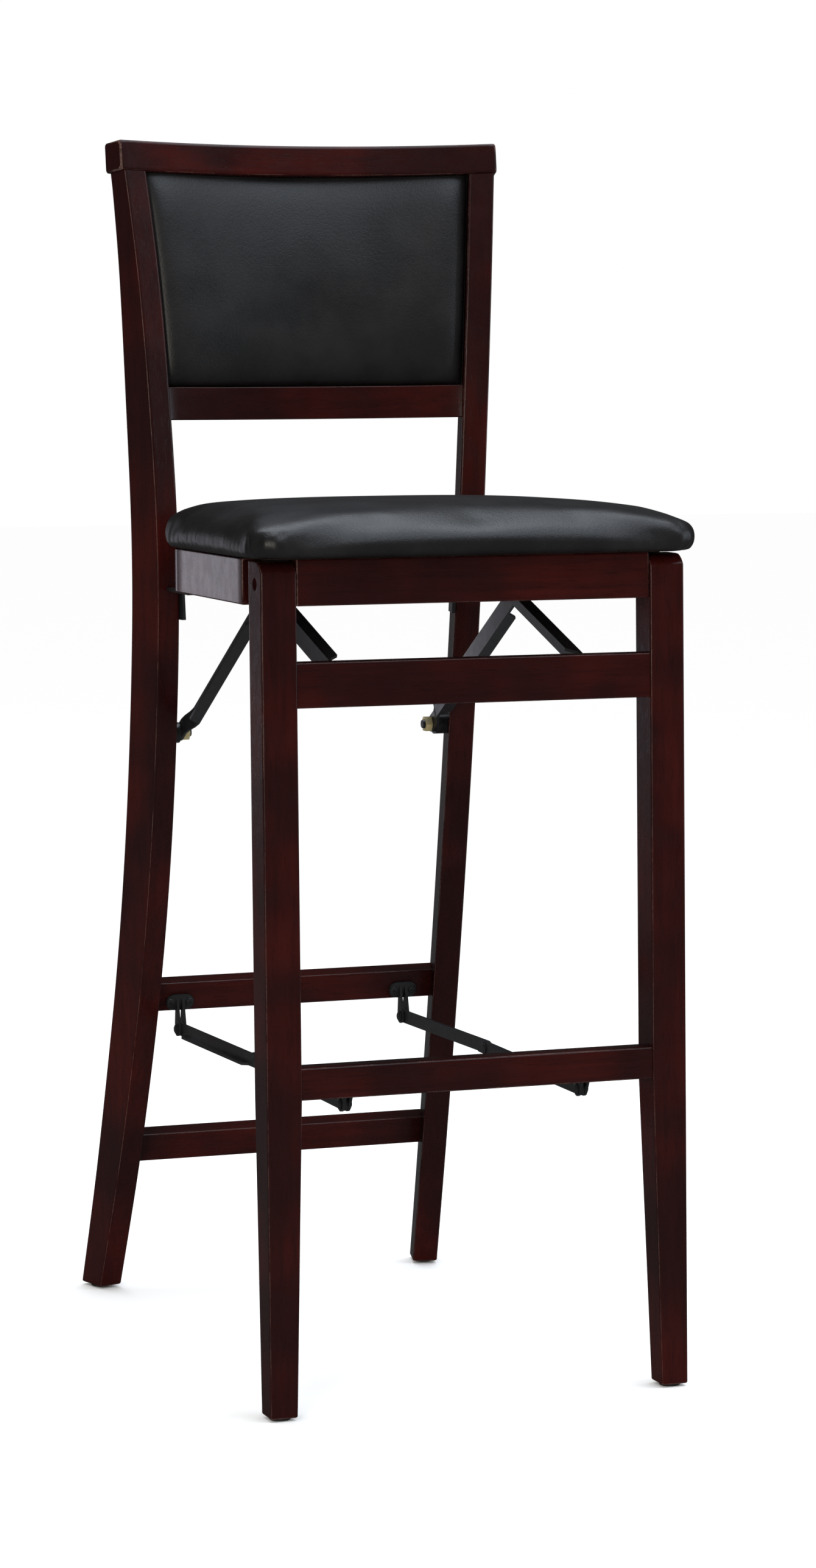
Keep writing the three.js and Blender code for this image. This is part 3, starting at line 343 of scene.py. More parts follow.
def wooden_bar(name, centres, across, up, width, height, arris, trim=None, round_ends=(True, True)):
    """A bar of rounded rectangles carried along a path.

    A point is its ring's centre plus across times x plus up times y of the section. Each round end gets rings
    that draw in by the arris radius on a quarter circle, and trim may cut the finished points.
    """
    count = len(centres)
    rings = np.column_stack((centres, np.broadcast_to(across, (count, 3)), np.broadcast_to(up, (count, 3)),
                             np.broadcast_to(width, count), np.broadcast_to(height, count), np.zeros(count)))
    turns = np.linspace(0, math.pi / 2, ARC_STEPS + 1)[1:]
    for end, step in ((0, 1), (-1, -1)):
        if round_ends[end]:
            direction = centres[end] - centres[end + step]
            direction = direction / np.linalg.norm(direction)
            rings[end, :3] -= direction * arris
            extra = np.repeat(rings[[end]], ARC_STEPS, axis=0)
            extra[:, :3] += direction * arris * np.sin(turns)[:, None]
            extra[:, -1] = arris * (1 - np.cos(turns))
            rings = np.vstack((rings, extra) if end else (extra[::-1], rings))
    signs, radii, supports, near_arris = rounded_section()
    middle, side, rise = np.split(rings[:, None, :9], 3, axis=-1)
    wide, high, draw = rings[:, 9:].T[:, :, None]
    reach = np.minimum(arris, np.minimum(wide, high) / 2 - SUPPORT)
    x, y = (signs[:, k] * (size / 2 - draw) + radii[:, k] * reach + supports[:, k] * SUPPORT
            for k, size in enumerate((wide, high)))
    points = middle + side * x[..., None] + rise * y[..., None]
    piece = new_piece(name, trim(points) if trim else points, capped_faces(*points.shape[:2]))
    outward(piece)
    least, most = (arris * share for share in ARRIS_SHARES)
    worn = np.maximum(near_arris, (draw > least) & (draw < most))
    attribute = piece.data.attributes.new("arris", "FLOAT", "POINT")
    attribute.data.foreach_set("value", worn.astype(np.float32).ravel())
    harden(piece)
    return piece


def straight_path(half, y, z, steps=BAR_STEPS):
    """Evenly spaced points on a level line across the stool."""
    return np.linspace((-half, y, z), (half, y, z), steps)


def bowed_path(half, y, z, rake, bow, steps):
    """A path across the stool whose middle lies back by the bow, on a parabola, and its axis square to it."""
    share = np.linspace(-1, 1, steps)[:, None]
    back = raked_axes(rake)[0]
    centres = share * half * X_AXIS + (0, y, z) + bow * (1 - share ** 2) * back
    lean = 2 * bow * share / half
    return centres, (lean * X_AXIS + back) / np.sqrt(1 + lean ** 2)


# Shader maths

MIX_FACTOR, MIX_FIRST, MIX_SECOND, MIX_RESULT = 0, 6, 7, 2


class Wire:
    """A shader socket that takes part in sums: each operator adds one Math node."""

    def __init__(self, finish, socket):
        self.finish, self.socket = finish, socket

    def __add__(self, other):
        return self.finish.math("ADD", self, other)

    def __mul__(self, other):
        return self.finish.math("MULTIPLY", self, other)

    def __sub__(self, other):
        return self.finish.math("SUBTRACT", self, other)

    def __rsub__(self, other):
        return self.finish.math("SUBTRACT", other, self)

    __radd__, __rmul__ = __add__, __mul__

    def between(self, low, high):
        """0 below low and 1 above high, with a smooth rise."""
        return self.finish.node("ShaderNodeMapRange", {"interpolation_type": "SMOOTHSTEP"},
                                {"Value": self, "From Min": low, "From Max": high})


class Finish:
    """The nodes of their owner, one material or the sky, under construction."""

    def __init__(self, owner):
        owner.use_nodes = True
        self.owner, self.tree = owner, owner.node_tree
        self.tree.nodes.clear()

    def node(self, kind, settings=None, inputs=None, output=0):
        """Adds a node: its settings first, then the values or wires of its inputs, and returns one output."""
        made = self.tree.nodes.new(kind)
        for name, value in (settings or {}).items():
            setattr(made, name, value)
        for name, value in (inputs or {}).items():
            socket = made.inputs[name]
            if isinstance(value, Wire):
                self.tree.links.new(value.socket, socket)
            else:
                socket.default_value = value
        return Wire(self, made.outputs[output]) if made.outputs else None

    def math(self, operation, first, second):
        """A Math node of two values, each a wire or a number."""
        return self.node("ShaderNodeMath", {"operation": operation}, {0: first, 1: second})

    def place(self, stretch=(1, 1, 1)):
        """Object coordinates, each axis times its stretch."""
        where = self.node("ShaderNodeTexCoord", output="Object")
        return self.node("ShaderNodeMapping", None, {"Vector": where, "Scale": stretch})

    def noise(self, place, scale, detail=3.0, roughness=0.5, distortion=0.0):
        """Cloudy noise; the scale counts its clouds in a metre."""
        return self.node("ShaderNodeTexNoise", None, {"Vector": place, "Scale": scale, "Detail": detail,
                                                      "Roughness": roughness, "Distortion": distortion})

    def cracks(self, place, scale):
        """The distance to the nearest border between cells; the scale counts the cells in a metre."""
        return self.node("ShaderNodeTexVoronoi", {"feature": "DISTANCE_TO_EDGE"},
                         {"Vector": place, "Scale": scale})

    def mix(self, factor, first, second):
        """A blend of two colours."""
        return self.node("ShaderNodeMix", {"data_type": "RGBA"},
                         {MIX_FACTOR: factor, MIX_FIRST: first, MIX_SECOND: second}, MIX_RESULT)

    def bump(self, height, distance, strength=1.0):
        """A normal from a height of 0 to 1 that stands for the distance in metres."""
        inputs = {"Height": height, "Distance": distance, "Strength": strength}
        return self.node("ShaderNodeBump", None, inputs)

    def surface(self, **inputs):
        """Ends the material in a Principled shader; names are its sockets with _ for a space."""
        named = {name.replace("_", " "): value for name, value in inputs.items()}
        return self.end(self.node("ShaderNodeBsdfPrincipled", None, named))

    def end(self, shader, kind="ShaderNodeOutputMaterial"):
        """Leads the shader to the output and returns the finished material or sky."""
        self.node(kind, None, {"Surface": shader})
        return self.owner


def rgb(red, green, blue):
    """An opaque colour."""
    return (red, green, blue, 1.0)


# Finishes; the distance of a bump is in metres

def stained_wood(name, grain_axis):
    """Espresso stain under a satin coat.

    Red-brown clouds, dark streaks and fine pores along the grain, and pale patches where arrises are rubbed.
    """
    wood = Finish(bpy.data.materials.new(name))
    stretch = [1.0, 1.0, 1.0]
    stretch[grain_axis] = 0.06
    along, plain = wood.place(stretch), wood.place()
    clouds = wood.noise(plain, scale=9, detail=2, roughness=0.55).between(0.38, 0.66)
    streaks = wood.noise(along, scale=170, detail=4, roughness=0.6, distortion=0.4)
    pores = wood.noise(along, scale=900, detail=2).between(0.56, 0.72)
    wine, chestnut = rgb(0.0145, 0.0024, 0.0022), rgb(0.031, 0.0030, 0.0020)
    dark_streak, pore = rgb(0.0085, 0.0020, 0.0018), rgb(0.004, 0.0012, 0.0011)
    bare = rgb(0.13, 0.07, 0.055)
    tone = wood.mix(clouds, wine, chestnut)
    grained = wood.mix(streaks.between(0.35, 0.75) * 0.45, tone, dark_streak)
    pored = wood.mix(pores * 0.35, grained, pore)
    patchy = wood.noise(plain, scale=30, detail=4, roughness=0.7).between(0.40, 0.60)
    speckle = wood.noise(plain, scale=600, detail=3, roughness=0.7).between(0.30, 0.55)
    arris = wood.node("ShaderNodeAttribute", {"attribute_name": "arris"}, output="Fac")
    edge = arris.between(0.86, 0.99)
    colour = wood.mix(edge * patchy * speckle * 0.6, pored, bare)
    roughness = wood.noise(plain, scale=55, detail=3, roughness=0.6) * 0.14 + 0.2 + edge * 0.3
    relief = wood.bump(streaks * 0.5 - pores * 0.5, distance=0.00012, strength=0.5)
    return wood.surface(Base_Color=colour, Roughness=roughness, Normal=relief, Specular_IOR_Level=0.2,
                        Coat_Weight=0.12 - edge * 0.12, Coat_Roughness=0.16, Coat_IOR=1.5)


def vinyl_cover(name):
    """Near-black vinyl with a leather grain.

    Small pebbles lie between fine creases painted a little darker as painted shade, larger folds cross them,
    and the gloss drifts over broad clouds.
    """
    vinyl = Finish(bpy.data.materials.new(name))
    plain = vinyl.place()
    warp = vinyl.noise(plain, scale=240, detail=2)
    drift = vinyl.node("ShaderNodeVectorMath", {"operation": "SCALE"}, {0: warp, "Scale": 0.0016})
    shifted = vinyl.node("ShaderNodeVectorMath", {"operation": "ADD"}, {0: plain, 1: drift})
    pebbles = vinyl.cracks(shifted, scale=620.0).between(0.0, 0.3)
    folds = vinyl.cracks(shifted, scale=210.0).between(0.0, 0.22)
    broad = vinyl.noise(plain, scale=22, detail=3, roughness=0.55)
    fine = vinyl.noise(plain, scale=900, detail=3, roughness=0.6)
    relief = vinyl.bump(pebbles * 0.45 + folds * 0.5 + fine * 0.5, distance=0.00012, strength=0.6)
    black, charcoal = rgb(0.0068, 0.0062, 0.0063), rgb(0.0108, 0.0097, 0.0097)
    # Painted shade: a darker colour mixed into the grain's creases
    crease_shade = rgb(0.0035, 0.0032, 0.0032)
    cracked = 1 - pebbles
    colour = vinyl.mix(cracked * 0.2, vinyl.mix(broad.between(0.3, 0.7), black, charcoal), crease_shade)
    return vinyl.surface(Base_Color=colour, Roughness=broad * 0.12 + 0.31 + cracked * 0.06, Normal=relief,
                         Specular_IOR_Level=0.4)


def painted_steel(name):
    """Satin black paint on steel: orange-peel relief and a few rubbed grey spots."""
    steel = Finish(bpy.data.materials.new(name))
    plain = steel.place()
    peel = steel.noise(plain, scale=900, detail=2)
    rub = steel.noise(plain, scale=260, detail=4, roughness=0.7).between(0.60, 0.74)
    colour = steel.mix(rub * 0.6, rgb(0.010, 0.0102, 0.011), rgb(0.055, 0.055, 0.056))
    roughness = steel.noise(plain, scale=120, detail=3, roughness=0.6) * 0.2 + 0.26
    relief = steel.bump(peel, distance=0.00006, strength=0.5)
    return steel.surface(Base_Color=colour, Metallic=rub * 0.7, Roughness=roughness, Normal=relief,
                         Specular_IOR_Level=0.55, Coat_Weight=0.2, Coat_Roughness=0.2)


def zinc_plate(name):
    """Yellow zinc plate, its tint drifting from gold to a greenish straw."""
    zinc = Finish(bpy.data.materials.new(name))
    plain = zinc.place()
    drift = zinc.noise(plain, scale=160, detail=3, roughness=0.6).between(0.35, 0.65)
    colour = zinc.mix(drift, rgb(0.62, 0.48, 0.22), rgb(0.52, 0.48, 0.30))
    roughness = zinc.noise(plain, scale=500, detail=3) * 0.3 + 0.18
    relief = zinc.bump(zinc.noise(plain, scale=1400, detail=2), distance=0.00003)
    return zinc.surface(Base_Color=colour, Metallic=0.6, Roughness=roughness, Normal=relief)


def stained_plywood(name):
    """Plywood under the same dark stain: long figure on its faces, plies that show as bands at its edges."""
    ply = Finish(bpy.data.materials.new(name))
    figure = ply.noise(ply.place((0.08, 1, 1)), scale=120, detail=4, roughness=0.6, distortion=0.6)
    figure = figure.between(0.3, 0.7)
    bands = ply.node("ShaderNodeTexWave", {"bands_direction": "Z"}, {"Vector": ply.place(), "Scale": 95.0})
    tone = ply.mix(figure, rgb(0.011, 0.0045, 0.0036), rgb(0.026, 0.0085, 0.0060))
    colour = ply.mix(bands.between(0.3, 0.7) * 0.35, tone, rgb(0.008, 0.0035, 0.003))
    return ply.surface(Base_Color=colour, Roughness=figure * 0.15 + 0.5,
                       Normal=ply.bump(figure, distance=0.0001))


def black_nylon(name):
    """Moulded nylon with a fine matt texture."""
    nylon = Finish(bpy.data.materials.new(name))
    grain = nylon.noise(nylon.place(), scale=1800, detail=2, roughness=0.6)
    colour = nylon.mix(grain, rgb(0.013, 0.012, 0.012), rgb(0.022, 0.021, 0.02))
    return nylon.surface(Base_Color=colour, Roughness=grain * 0.2 + 0.5,
                         Normal=nylon.bump(grain, distance=0.00005))


WOOD_ALONG_X, WOOD_ALONG_Y, WOOD_ALONG_Z = (stained_wood(f"wood_along_{axis}", number)
                                            for number, axis in enumerate("xyz"))
VINYL = vinyl_cover("vinyl_cover")
STEEL = painted_steel("painted_steel")
ZINC = zinc_plate("yellow_zinc")
PLYWOOD = stained_plywood("stained_plywood")
NYLON = black_nylon("black_nylon")


# Wood of the back frame

def back_post(label, side):
    """A sabre-cut board: at each height a rectangle from the front edge's curve back by the depth's curve.

    It is drawn a little too tall and trimmed to the top rail's underside.
    """
    z = np.append(np.linspace(GLIDE_HEIGHT, POST_TOP, POST_STEPS), POST_TOP + SPARE)
    depth = post_depth(z)
    centres = post_point(post_sweep(z) / math.cos(POST_TURN) + depth / 2, z, POST_THICKNESS / 2)
    back = (math.sin(POST_TURN), math.cos(POST_TURN), 0)
    inward = (-math.cos(POST_TURN), math.sin(POST_TURN), 0)

    def under_rail(points):
        points[..., 2] = np.minimum(points[..., 2], rail_underside(points[..., 1]) - RUNNING)
        return points * (side, 1, 1)

    piece = wooden_bar(f"post_{label}", centres, back, inward, depth, POST_THICKNESS, POST_ARRIS, under_rail)
    return dressed(piece, "back_frame", f"back_post_{label}", WOOD_ALONG_Z)


def top_rail():
    """The top rail: a bowed bar that stands on the posts' tops, its ends square to the bow."""
    back, up = raked_axes(RAIL_RAKE)
    _, y, z = (0, RAIL_END_Y, POST_TOP) + RAIL_THICKNESS / 2 * back + RAIL_HEIGHT / 2 * up
    half = RAIL_HALF + RAIL_THICKNESS / 2 * math.tan(POST_TURN)
    centres, square = bowed_path(half, y, z, RAIL_RAKE, RAIL_BOW, RAIL_STEPS)
    piece = wooden_bar("rail_top", centres, square, up, RAIL_THICKNESS, RAIL_HEIGHT, RAIL_ARRIS)
    return dressed(piece, "back_frame", "top_rail", WOOD_ALONG_X)


def between_posts(points):
    """Trims a bar to the inner faces of the posts."""
    limit = post_inner_x(points[..., 1], points[..., 2]) - RUNNING
    points[..., 0] = np.clip(points[..., 0], -limit, limit)
    return points


def lower_rail():
    """The rail under the back pad: its middle lies back by the bow, and the posts cut its ends."""
    back, up = raked_axes(rake_at(LOWER_Z))
    half = float(post_inner_x(LOWER_Y, LOWER_Z))
    centres, _ = bowed_path(half, LOWER_Y, LOWER_Z, rake_at(LOWER_Z), LOWER_BOW, LOWER_STEPS)
    centres[[0, -1], 0] += (-RAIL_SPARE, RAIL_SPARE)
    piece = wooden_bar("rail_lower", centres, back, up, LOWER_THICKNESS, LOWER_HEIGHT, LOWER_ARRIS,
                       between_posts, (False, False))
    return dressed(piece, "back_frame", "lower_back_rail", WOOD_ALONG_X)


def rear_stretcher(name, node, z):
    """A straight bar between the posts, tipped with their slope."""
    back, up = raked_axes(rake_at(z))
    y = float(post_inner_front(z)) + STRETCHER_SET_BACK + STRETCHER_THICKNESS / 2
    centres = straight_path(float(post_inner_x(y, z)) + SPARE, y, z, STRETCHER_STEPS)
    piece = wooden_bar(name, centres, back, up, STRETCHER_THICKNESS, STRETCHER_HEIGHT, STRETCHER_ARRIS,
                       between_posts, (False, False))
    return dressed(piece, "back_frame", node, WOOD_ALONG_X)


# Wood of the front frame

def front_leg(label, side):
    """A leg that leans, tapers below the footrest and is rounded over the seat's pivot.

    Width and depth shrink evenly from the taper's top to the foot. Above the pivot the front edge follows the
    circle y = pivot - sqrt(radius^2 - rise^2). The bolt's stepped hole is cut last.
    """
    meet = math.asin(LEG_DEPTH / 2 / LEG_TOP_RADIUS)
    crown = PIVOT_Z + LEG_TOP_RADIUS * np.cos(np.linspace(meet, LEG_TOP_FLAT, CROWN_STEPS))
    z = np.concatenate((np.linspace(GLIDE_HEIGHT, LEG_TAPER_TOP, FOOT_STEPS),
                        np.linspace(LEG_TAPER_TOP, crown[0], LEG_STEPS)[1:], crown[1:]))
    taper = clamp((LEG_TAPER_TOP - z) / (LEG_TAPER_TOP - GLIDE_HEIGHT))
    width = LEG_WIDTH - (LEG_WIDTH - FOOT_WIDTH) * taper
    rise = np.clip(z - PIVOT_Z, 0, LEG_TOP_RADIUS)
    arc = PIVOT_Y - np.sqrt(LEG_TOP_RADIUS ** 2 - rise ** 2)
    front = np.where(z > crown[0], arc, leg_front(z))
    rear = leg_front(z) + LEG_DEPTH - (LEG_DEPTH - FOOT_DEPTH) * taper
    centres = np.stack((side * (LEG_HALF - width / 2), (front + rear) / 2, z), axis=-1)
    piece = wooden_bar(f"leg_{label}", centres, X_AXIS, Y_AXIS, width, rear - front, LEG_ARRIS)
    bore = counterbore(side)
    modified(piece, "BOOLEAN", operation="DIFFERENCE", solver="EXACT", object=bore)
    bpy.data.objects.remove(bore)
    harden(piece)
    return dressed(piece, "front_frame", f"front_leg_{label}", WOOD_ALONG_Z)


def counterbore(side, segments=32):
    """The cutter for the seat bolt's stepped hole: a profile of radius and X swept round the pivot's line."""
    inner, step, outer = LEG_HALF - LEG_WIDTH - MM, LEG_HALF - RECESS_DEPTH, LEG_HALF + MM
    profile = ((0, inner), (BOLT_HOLE, inner), (BOLT_HOLE, step), (BOLT_RECESS, step), (BOLT_RECESS, outer),
               (0, outer))
    angle = np.linspace(0, 2 * math.pi, segments, endpoint=False)
    radius, x = np.array(profile).T[:, :, None]
    y, z = PIVOT_Y + radius * np.cos(angle), PIVOT_Z + radius * np.sin(angle)
    points = np.stack(np.broadcast_arrays(side * x, y, z), axis=-1)
    piece = new_piece("bolt_cutter", points, grid_faces(len(profile), segments).tolist())
    merge(piece)
    outward(piece)
    return piece


def front_bar(name, node, top, height, thickness, arris):
    """A straight bar between the front legs that leans with them."""
    z = top - height / 2
    y = leg_front(z) + BAR_SET_BACK + thickness / 2
    centres = straight_path(LEG_HALF - LEG_WIDTH - RUNNING / 2, y, z)
    piece = wooden_bar(name, centres, Y_AXIS, (0, LEG_LEAN, 1), thickness, height, arris,
                       round_ends=(False, False))
    return dressed(piece, "front_frame", node, WOOD_ALONG_X)


# Wood of the seat frame, drawn about the seat's pivot

APRON_TOP, APRON_BOTTOM = PIVOT_DROP - RUNNING, PIVOT_DROP - FRAME_HEIGHT
APRON_MIDDLE, APRON_TALL = (APRON_TOP + APRON_BOTTOM) / 2, APRON_TOP - APRON_BOTTOM
APRON_START = LEG_DEPTH / 2 + 17 * MM


def apron_corner():
    """Centre of the rear corner's arc, one radius inside the tapering outer face."""
    y = APRON_DEPTH - CORNER_RADIUS
    outer = LEG_HALF - (y - APRON_START) * math.tan(APRON_SLOPE)
    across = CORNER_RADIUS / math.cos(APRON_SLOPE)
    return outer - across + CORNER_RADIUS * math.sin(APRON_SLOPE) * math.tan(APRON_SLOPE), y


def side_apron(label, side):
    """A side apron: a straight run that draws in towards the rear, then a quarter-round corner."""
    angles = np.linspace(-APRON_SLOPE, math.pi / 2, BEND_STEPS)
    bend = apron_corner() + (CORNER_RADIUS - APRON_THICKNESS / 2) * circle(angles)
    start = np.array((LEG_HALF - APRON_THICKNESS / 2 / math.cos(APRON_SLOPE), APRON_START))
    run = start + (bend[0] - start) * np.linspace(0, 1, APRON_STEPS)[:-1, None]
    plan = np.vstack((run, bend))
    out = circle(np.concatenate((np.full(len(run), -APRON_SLOPE), angles)))
    centres = np.insert(plan * (side, 1), 2, APRON_MIDDLE, axis=1)
    piece = wooden_bar(f"apron_{label}", centres, np.insert(out * (side, 1), 2, 0, axis=1), Z_AXIS,
                       APRON_THICKNESS, APRON_TALL, APRON_ARRIS, seat_tilt, (True, False))
    return dressed(piece, "seat_frame", f"seat_side_apron_{label}", WOOD_ALONG_Y)


def cross_apron(name, node, half, y, thickness):
    """A straight apron across the seat frame."""
    piece = wooden_bar(name, straight_path(half, y, APRON_MIDDLE), Y_AXIS, Z_AXIS, thickness, APRON_TALL,
                       APRON_ARRIS, seat_tilt)
    return dressed(piece, "seat_frame", node, WOOD_ALONG_X)


# Cushions: blowing up and evening out

CLOTH_FRAMES = 20
CLOTH_SETTINGS = {"use_pressure": True, "vertex_group_mass": "pinned", "quality": 6, "mass": 0.3,
                  "tension_stiffness": 18, "compression_stiffness": 18, "bending_stiffness": 8}


def inflate(piece, pinned, pressure, cap):
    """Blows the piece up as cloth round its pinned points, and lets no point move further than the cap."""
    start = vertex_array(piece, "co")
    group = piece.vertex_groups.new(name="pinned")
    group.add(np.flatnonzero(pinned).tolist(), 1.0, "REPLACE")
    cloth = piece.modifiers.new("cloth", "CLOTH")
    cloth.settings.uniform_pressure_force = pressure
    cloth.settings.effector_weights.gravity = 0
    for name, value in CLOTH_SETTINGS.items():
        setattr(cloth.settings, name, value)
    cloth.point_cache.frame_start, cloth.point_cache.frame_end = 1, CLOTH_FRAMES
    scene = bpy.context.scene
    for number in range(1, CLOTH_FRAMES + 1):
        scene.frame_set(number)
    apply_modifiers(piece)
    scene.frame_set(1)
    moved = vertex_array(piece, "co") - start
    length = np.linalg.norm(moved, axis=1, keepdims=True)
    set_points(piece, start + moved * np.minimum(1, cap / np.maximum(length, 1e-9)))
    piece.vertex_groups.clear()


def relax(piece, times):
    """Evens a mesh out: each time every point moves half-way to the mean of its neighbours."""
    edges = np.empty(len(piece.data.edges) * 2, dtype=int)
    piece.data.edges.foreach_get("vertices", edges)
    a, b = edges.reshape(-1, 2).T
    points = vertex_array(piece, "co")
    count = np.bincount(a, minlength=len(points)) + np.bincount(b, minlength=len(points))
    for _ in range(times):
        total = np.stack([np.bincount(a, part[b], len(part)) + np.bincount(b, part[a], len(part))
                          for part in points.T], axis=-1)
        points = points + 0.5 * (total / count[:, None] - points)
    set_points(piece, points)


def smoothed(field, times):
    """Evens out a grid inside its border: each value becomes the mean of itself and its four neighbours."""
    field = field.copy()
    for _ in range(times):
        field[1:-1, 1:-1] = (field[1:-1, 1:-1] + field[:-2, 1:-1] + field[2:, 1:-1] + field[1:-1, :-2]
                             + field[1:-1, 2:]) / 5
    return field


def subdivide(piece):
    """One round of subdivision, shaded smooth."""
    modified(piece, "SUBSURF", levels=1, render_levels=1)
    piece.data.shade_smooth()


# Seat cushion, drawn about the seat's pivot

SEAT_FRONT = -PIVOT_Y - FRONT_OVERHANG
SEAT_REAR = APRON_DEPTH + REAR_OVERHANG
SEAT_MIDDLE = (SEAT_FRONT + SEAT_REAR) / 2
SEAT_BASE = PIVOT_DROP + RUNNING
SEAT_RADIUS_FRONT, SEAT_RADIUS_REAR = 34 * MM, 62 * MM

SWELL_ROOM = 9 * MM
START_RADIUS_FRONT, START_RADIUS_REAR = 25 * MM, 50 * MM
RIM_POINTS = 240
SIDE_RINGS = ((0.02, 0), (0.5, 0), (0.90, 0), (0.965, 0), (0.985, 0.003), (0.996, 0.009), (1, 0.016),
              (0.999, 0.021), (0.992, 0.0255))
DOME_BASE, DOME_CROWN = 23 * MM, 22 * MM
DOME_SHARES = (0.979, 0.958, 0.932, 0.895, 0.842, 0.763, 0.658, 0.526, 0.4, 0.3, 0.2, 0.1, 0.02)
DOME_POWER, DOME_ROUNDING = 3, 0.45
NET_SIZE = 4.4 * MM
PINNED_BELOW = 2.2 * MM

RIM_WAVES = ((0.5, 1.35 * MM, 0), (0.25, 0.9 * MM, 1.3), (0.6, 2.6 * MM, 0.4))  # size, length, phase
RIM_TURN = 190 * MM
RIM_FROM, RIM_GROWTH = 0.9, 0.07
LOW_FROM, LOW_TO = 0.04, 0.62
ALL_ROUND, AT_REAR, AT_FRONT_CORNERS, AT_REAR_CORNERS = 0.16, 0.42, 0.75, 1.0
REAR_GROWTH, REAR_SIDES = 100 * MM, 0.85
CORNER_SPREAD = 30 * MM
LOBE_ALONG, LOBE_HEIGHT, LOBE_SIZE, LOBE_DEPTH = 9 * MM, 10 * MM, 13 * MM, 1.3
CREASE_RING, CREASE_WIDTH, CREASE_DEPTH = 1.1, 0.34, 1.1
CREASE_FROM, CREASE_GROWTH, CREASE_TAIL = 0.7, 0.8, -2.2


def seat_outline(corner_steps=12):
    """Plan of the flat pad, anticlockwise: straight sides joined by quarter circles, wider at the front."""
    front, rear = SEAT_FRONT + SWELL_ROOM, SEAT_REAR - SWELL_ROOM
    front_x = SEAT_FRONT_WIDTH / 2 - SWELL_ROOM - START_RADIUS_FRONT
    rear_x = SEAT_REAR_WIDTH / 2 - SWELL_ROOM - START_RADIUS_REAR
    corners = ((-front_x, front + START_RADIUS_FRONT, START_RADIUS_FRONT, math.pi),
               (front_x, front + START_RADIUS_FRONT, START_RADIUS_FRONT, 1.5 * math.pi),
               (rear_x, rear - START_RADIUS_REAR, START_RADIUS_REAR, 0),
               (-rear_x, rear - START_RADIUS_REAR, START_RADIUS_REAR, 0.5 * math.pi))
    quarter = np.linspace(0, math.pi / 2, corner_steps)
    arcs = [(x, y) + radius * circle(start + quarter) for x, y, radius, start in corners]
    loop = np.vstack((*arcs, arcs[0][:1]))
    distance = np.concatenate(([0], np.cumsum(np.linalg.norm(np.diff(loop, axis=0), axis=1))))
    even = np.linspace(0, distance[-1], RIM_POINTS, endpoint=False)
    return np.stack([np.interp(even, distance, loop[:, k]) for k in (0, 1)], axis=-1)


def domed_pad(outline, profile):
    """Closed rings of an outline: each entry gives a ring's share of the outline, its height and its crown.

    A point's height is the ring's height plus the crown times ((1 - |u|^3)(1 - |v|^3))^0.45, where u and v
    run from -1 to 1 over the outline's width and depth.
    """
    centre = (outline.min(axis=0) + outline.max(axis=0)) / 2
    half = (outline.max(axis=0) - outline.min(axis=0)) / 2
    share, height, crown = np.array(profile).T[:, :, None]
    plan = centre + (outline[None] - centre) * share[:, :, None]
    fall = np.prod(1 - clamp(np.abs((plan - centre) / half)) ** DOME_POWER, axis=-1) ** DOME_ROUNDING
    return np.concatenate((plan, (height + crown * fall)[:, :, None]), axis=-1)


def seat_cushion():
    """The seat cushion: a shallow dome of rings, given an even net, blown up, fitted, gathered and tipped."""
    side = [(share, SEAT_BASE + height, 0) for share, height in SIDE_RINGS]
    dome = [(share, SEAT_BASE + DOME_BASE, DOME_CROWN) for share in DOME_SHARES]
    rings = domed_pad(seat_outline(), side + dome)
    piece = new_piece("cushion_seat", rings, capped_faces(*rings.shape[:2]), shift=0)
    outward(piece)
    modified(piece, "REMESH", mode="VOXEL", voxel_size=NET_SIZE)
    relax(piece, times=2)
    pinned = vertex_array(piece, "co")[:, 2] < SEAT_BASE + PINNED_BELOW
    inflate(piece, pinned, pressure=3, cap=5 * MM)
    relax(piece, times=10)
    fit_seat(piece)
    subdivide(piece)
    gather_seat(piece)
    set_points(piece, seat_tilt(vertex_array(piece, "co")) + (0, FLOOR_SHIFT, 0))
    return dressed(piece, "seat_frame", "seat_cushion", VINYL)


def fit_seat(piece):
    """Scales the blown pad to the seat's plan and height and lays its underside flat on the frame."""
    points = vertex_array(piece, "co")
    low, high = points.min(axis=0), points.max(axis=0)
    target_low = np.array((-SEAT_FRONT_WIDTH / 2, SEAT_FRONT, SEAT_BASE - MM))
    target_high = np.array((SEAT_FRONT_WIDTH / 2, SEAT_REAR, PIVOT_DROP + PAD_HEIGHT))
    points = target_low + (points - low) / (high - low) * (target_high - target_low)
    points[:, 2] = np.maximum(points[:, 2], SEAT_BASE)
    set_points(piece, points)


def seat_corner(points, front):
    """How far round a corner a point lies from the corner's middle, and whether it is at that corner.

    On the side, round the arc and along the front or rear the way is counted on without a break.
    """
    x, y, _ = points.T
    radius = SEAT_RADIUS_FRONT if front else SEAT_RADIUS_REAR
    half = (SEAT_FRONT_WIDTH if front else SEAT_REAR_WIDTH) / 2
    out_x = np.abs(x) - (half - radius)
    out_y = SEAT_FRONT + radius - y if front else y - (SEAT_REAR - radius)
    eighth = radius * math.pi / 4
    along = np.where(out_x < 0, eighth - out_x,
                     np.where(out_y < 0, out_y - eighth, radius * np.arctan2(out_y, out_x) - eighth))
    return along, (out_x > 0) | (out_y > 0)


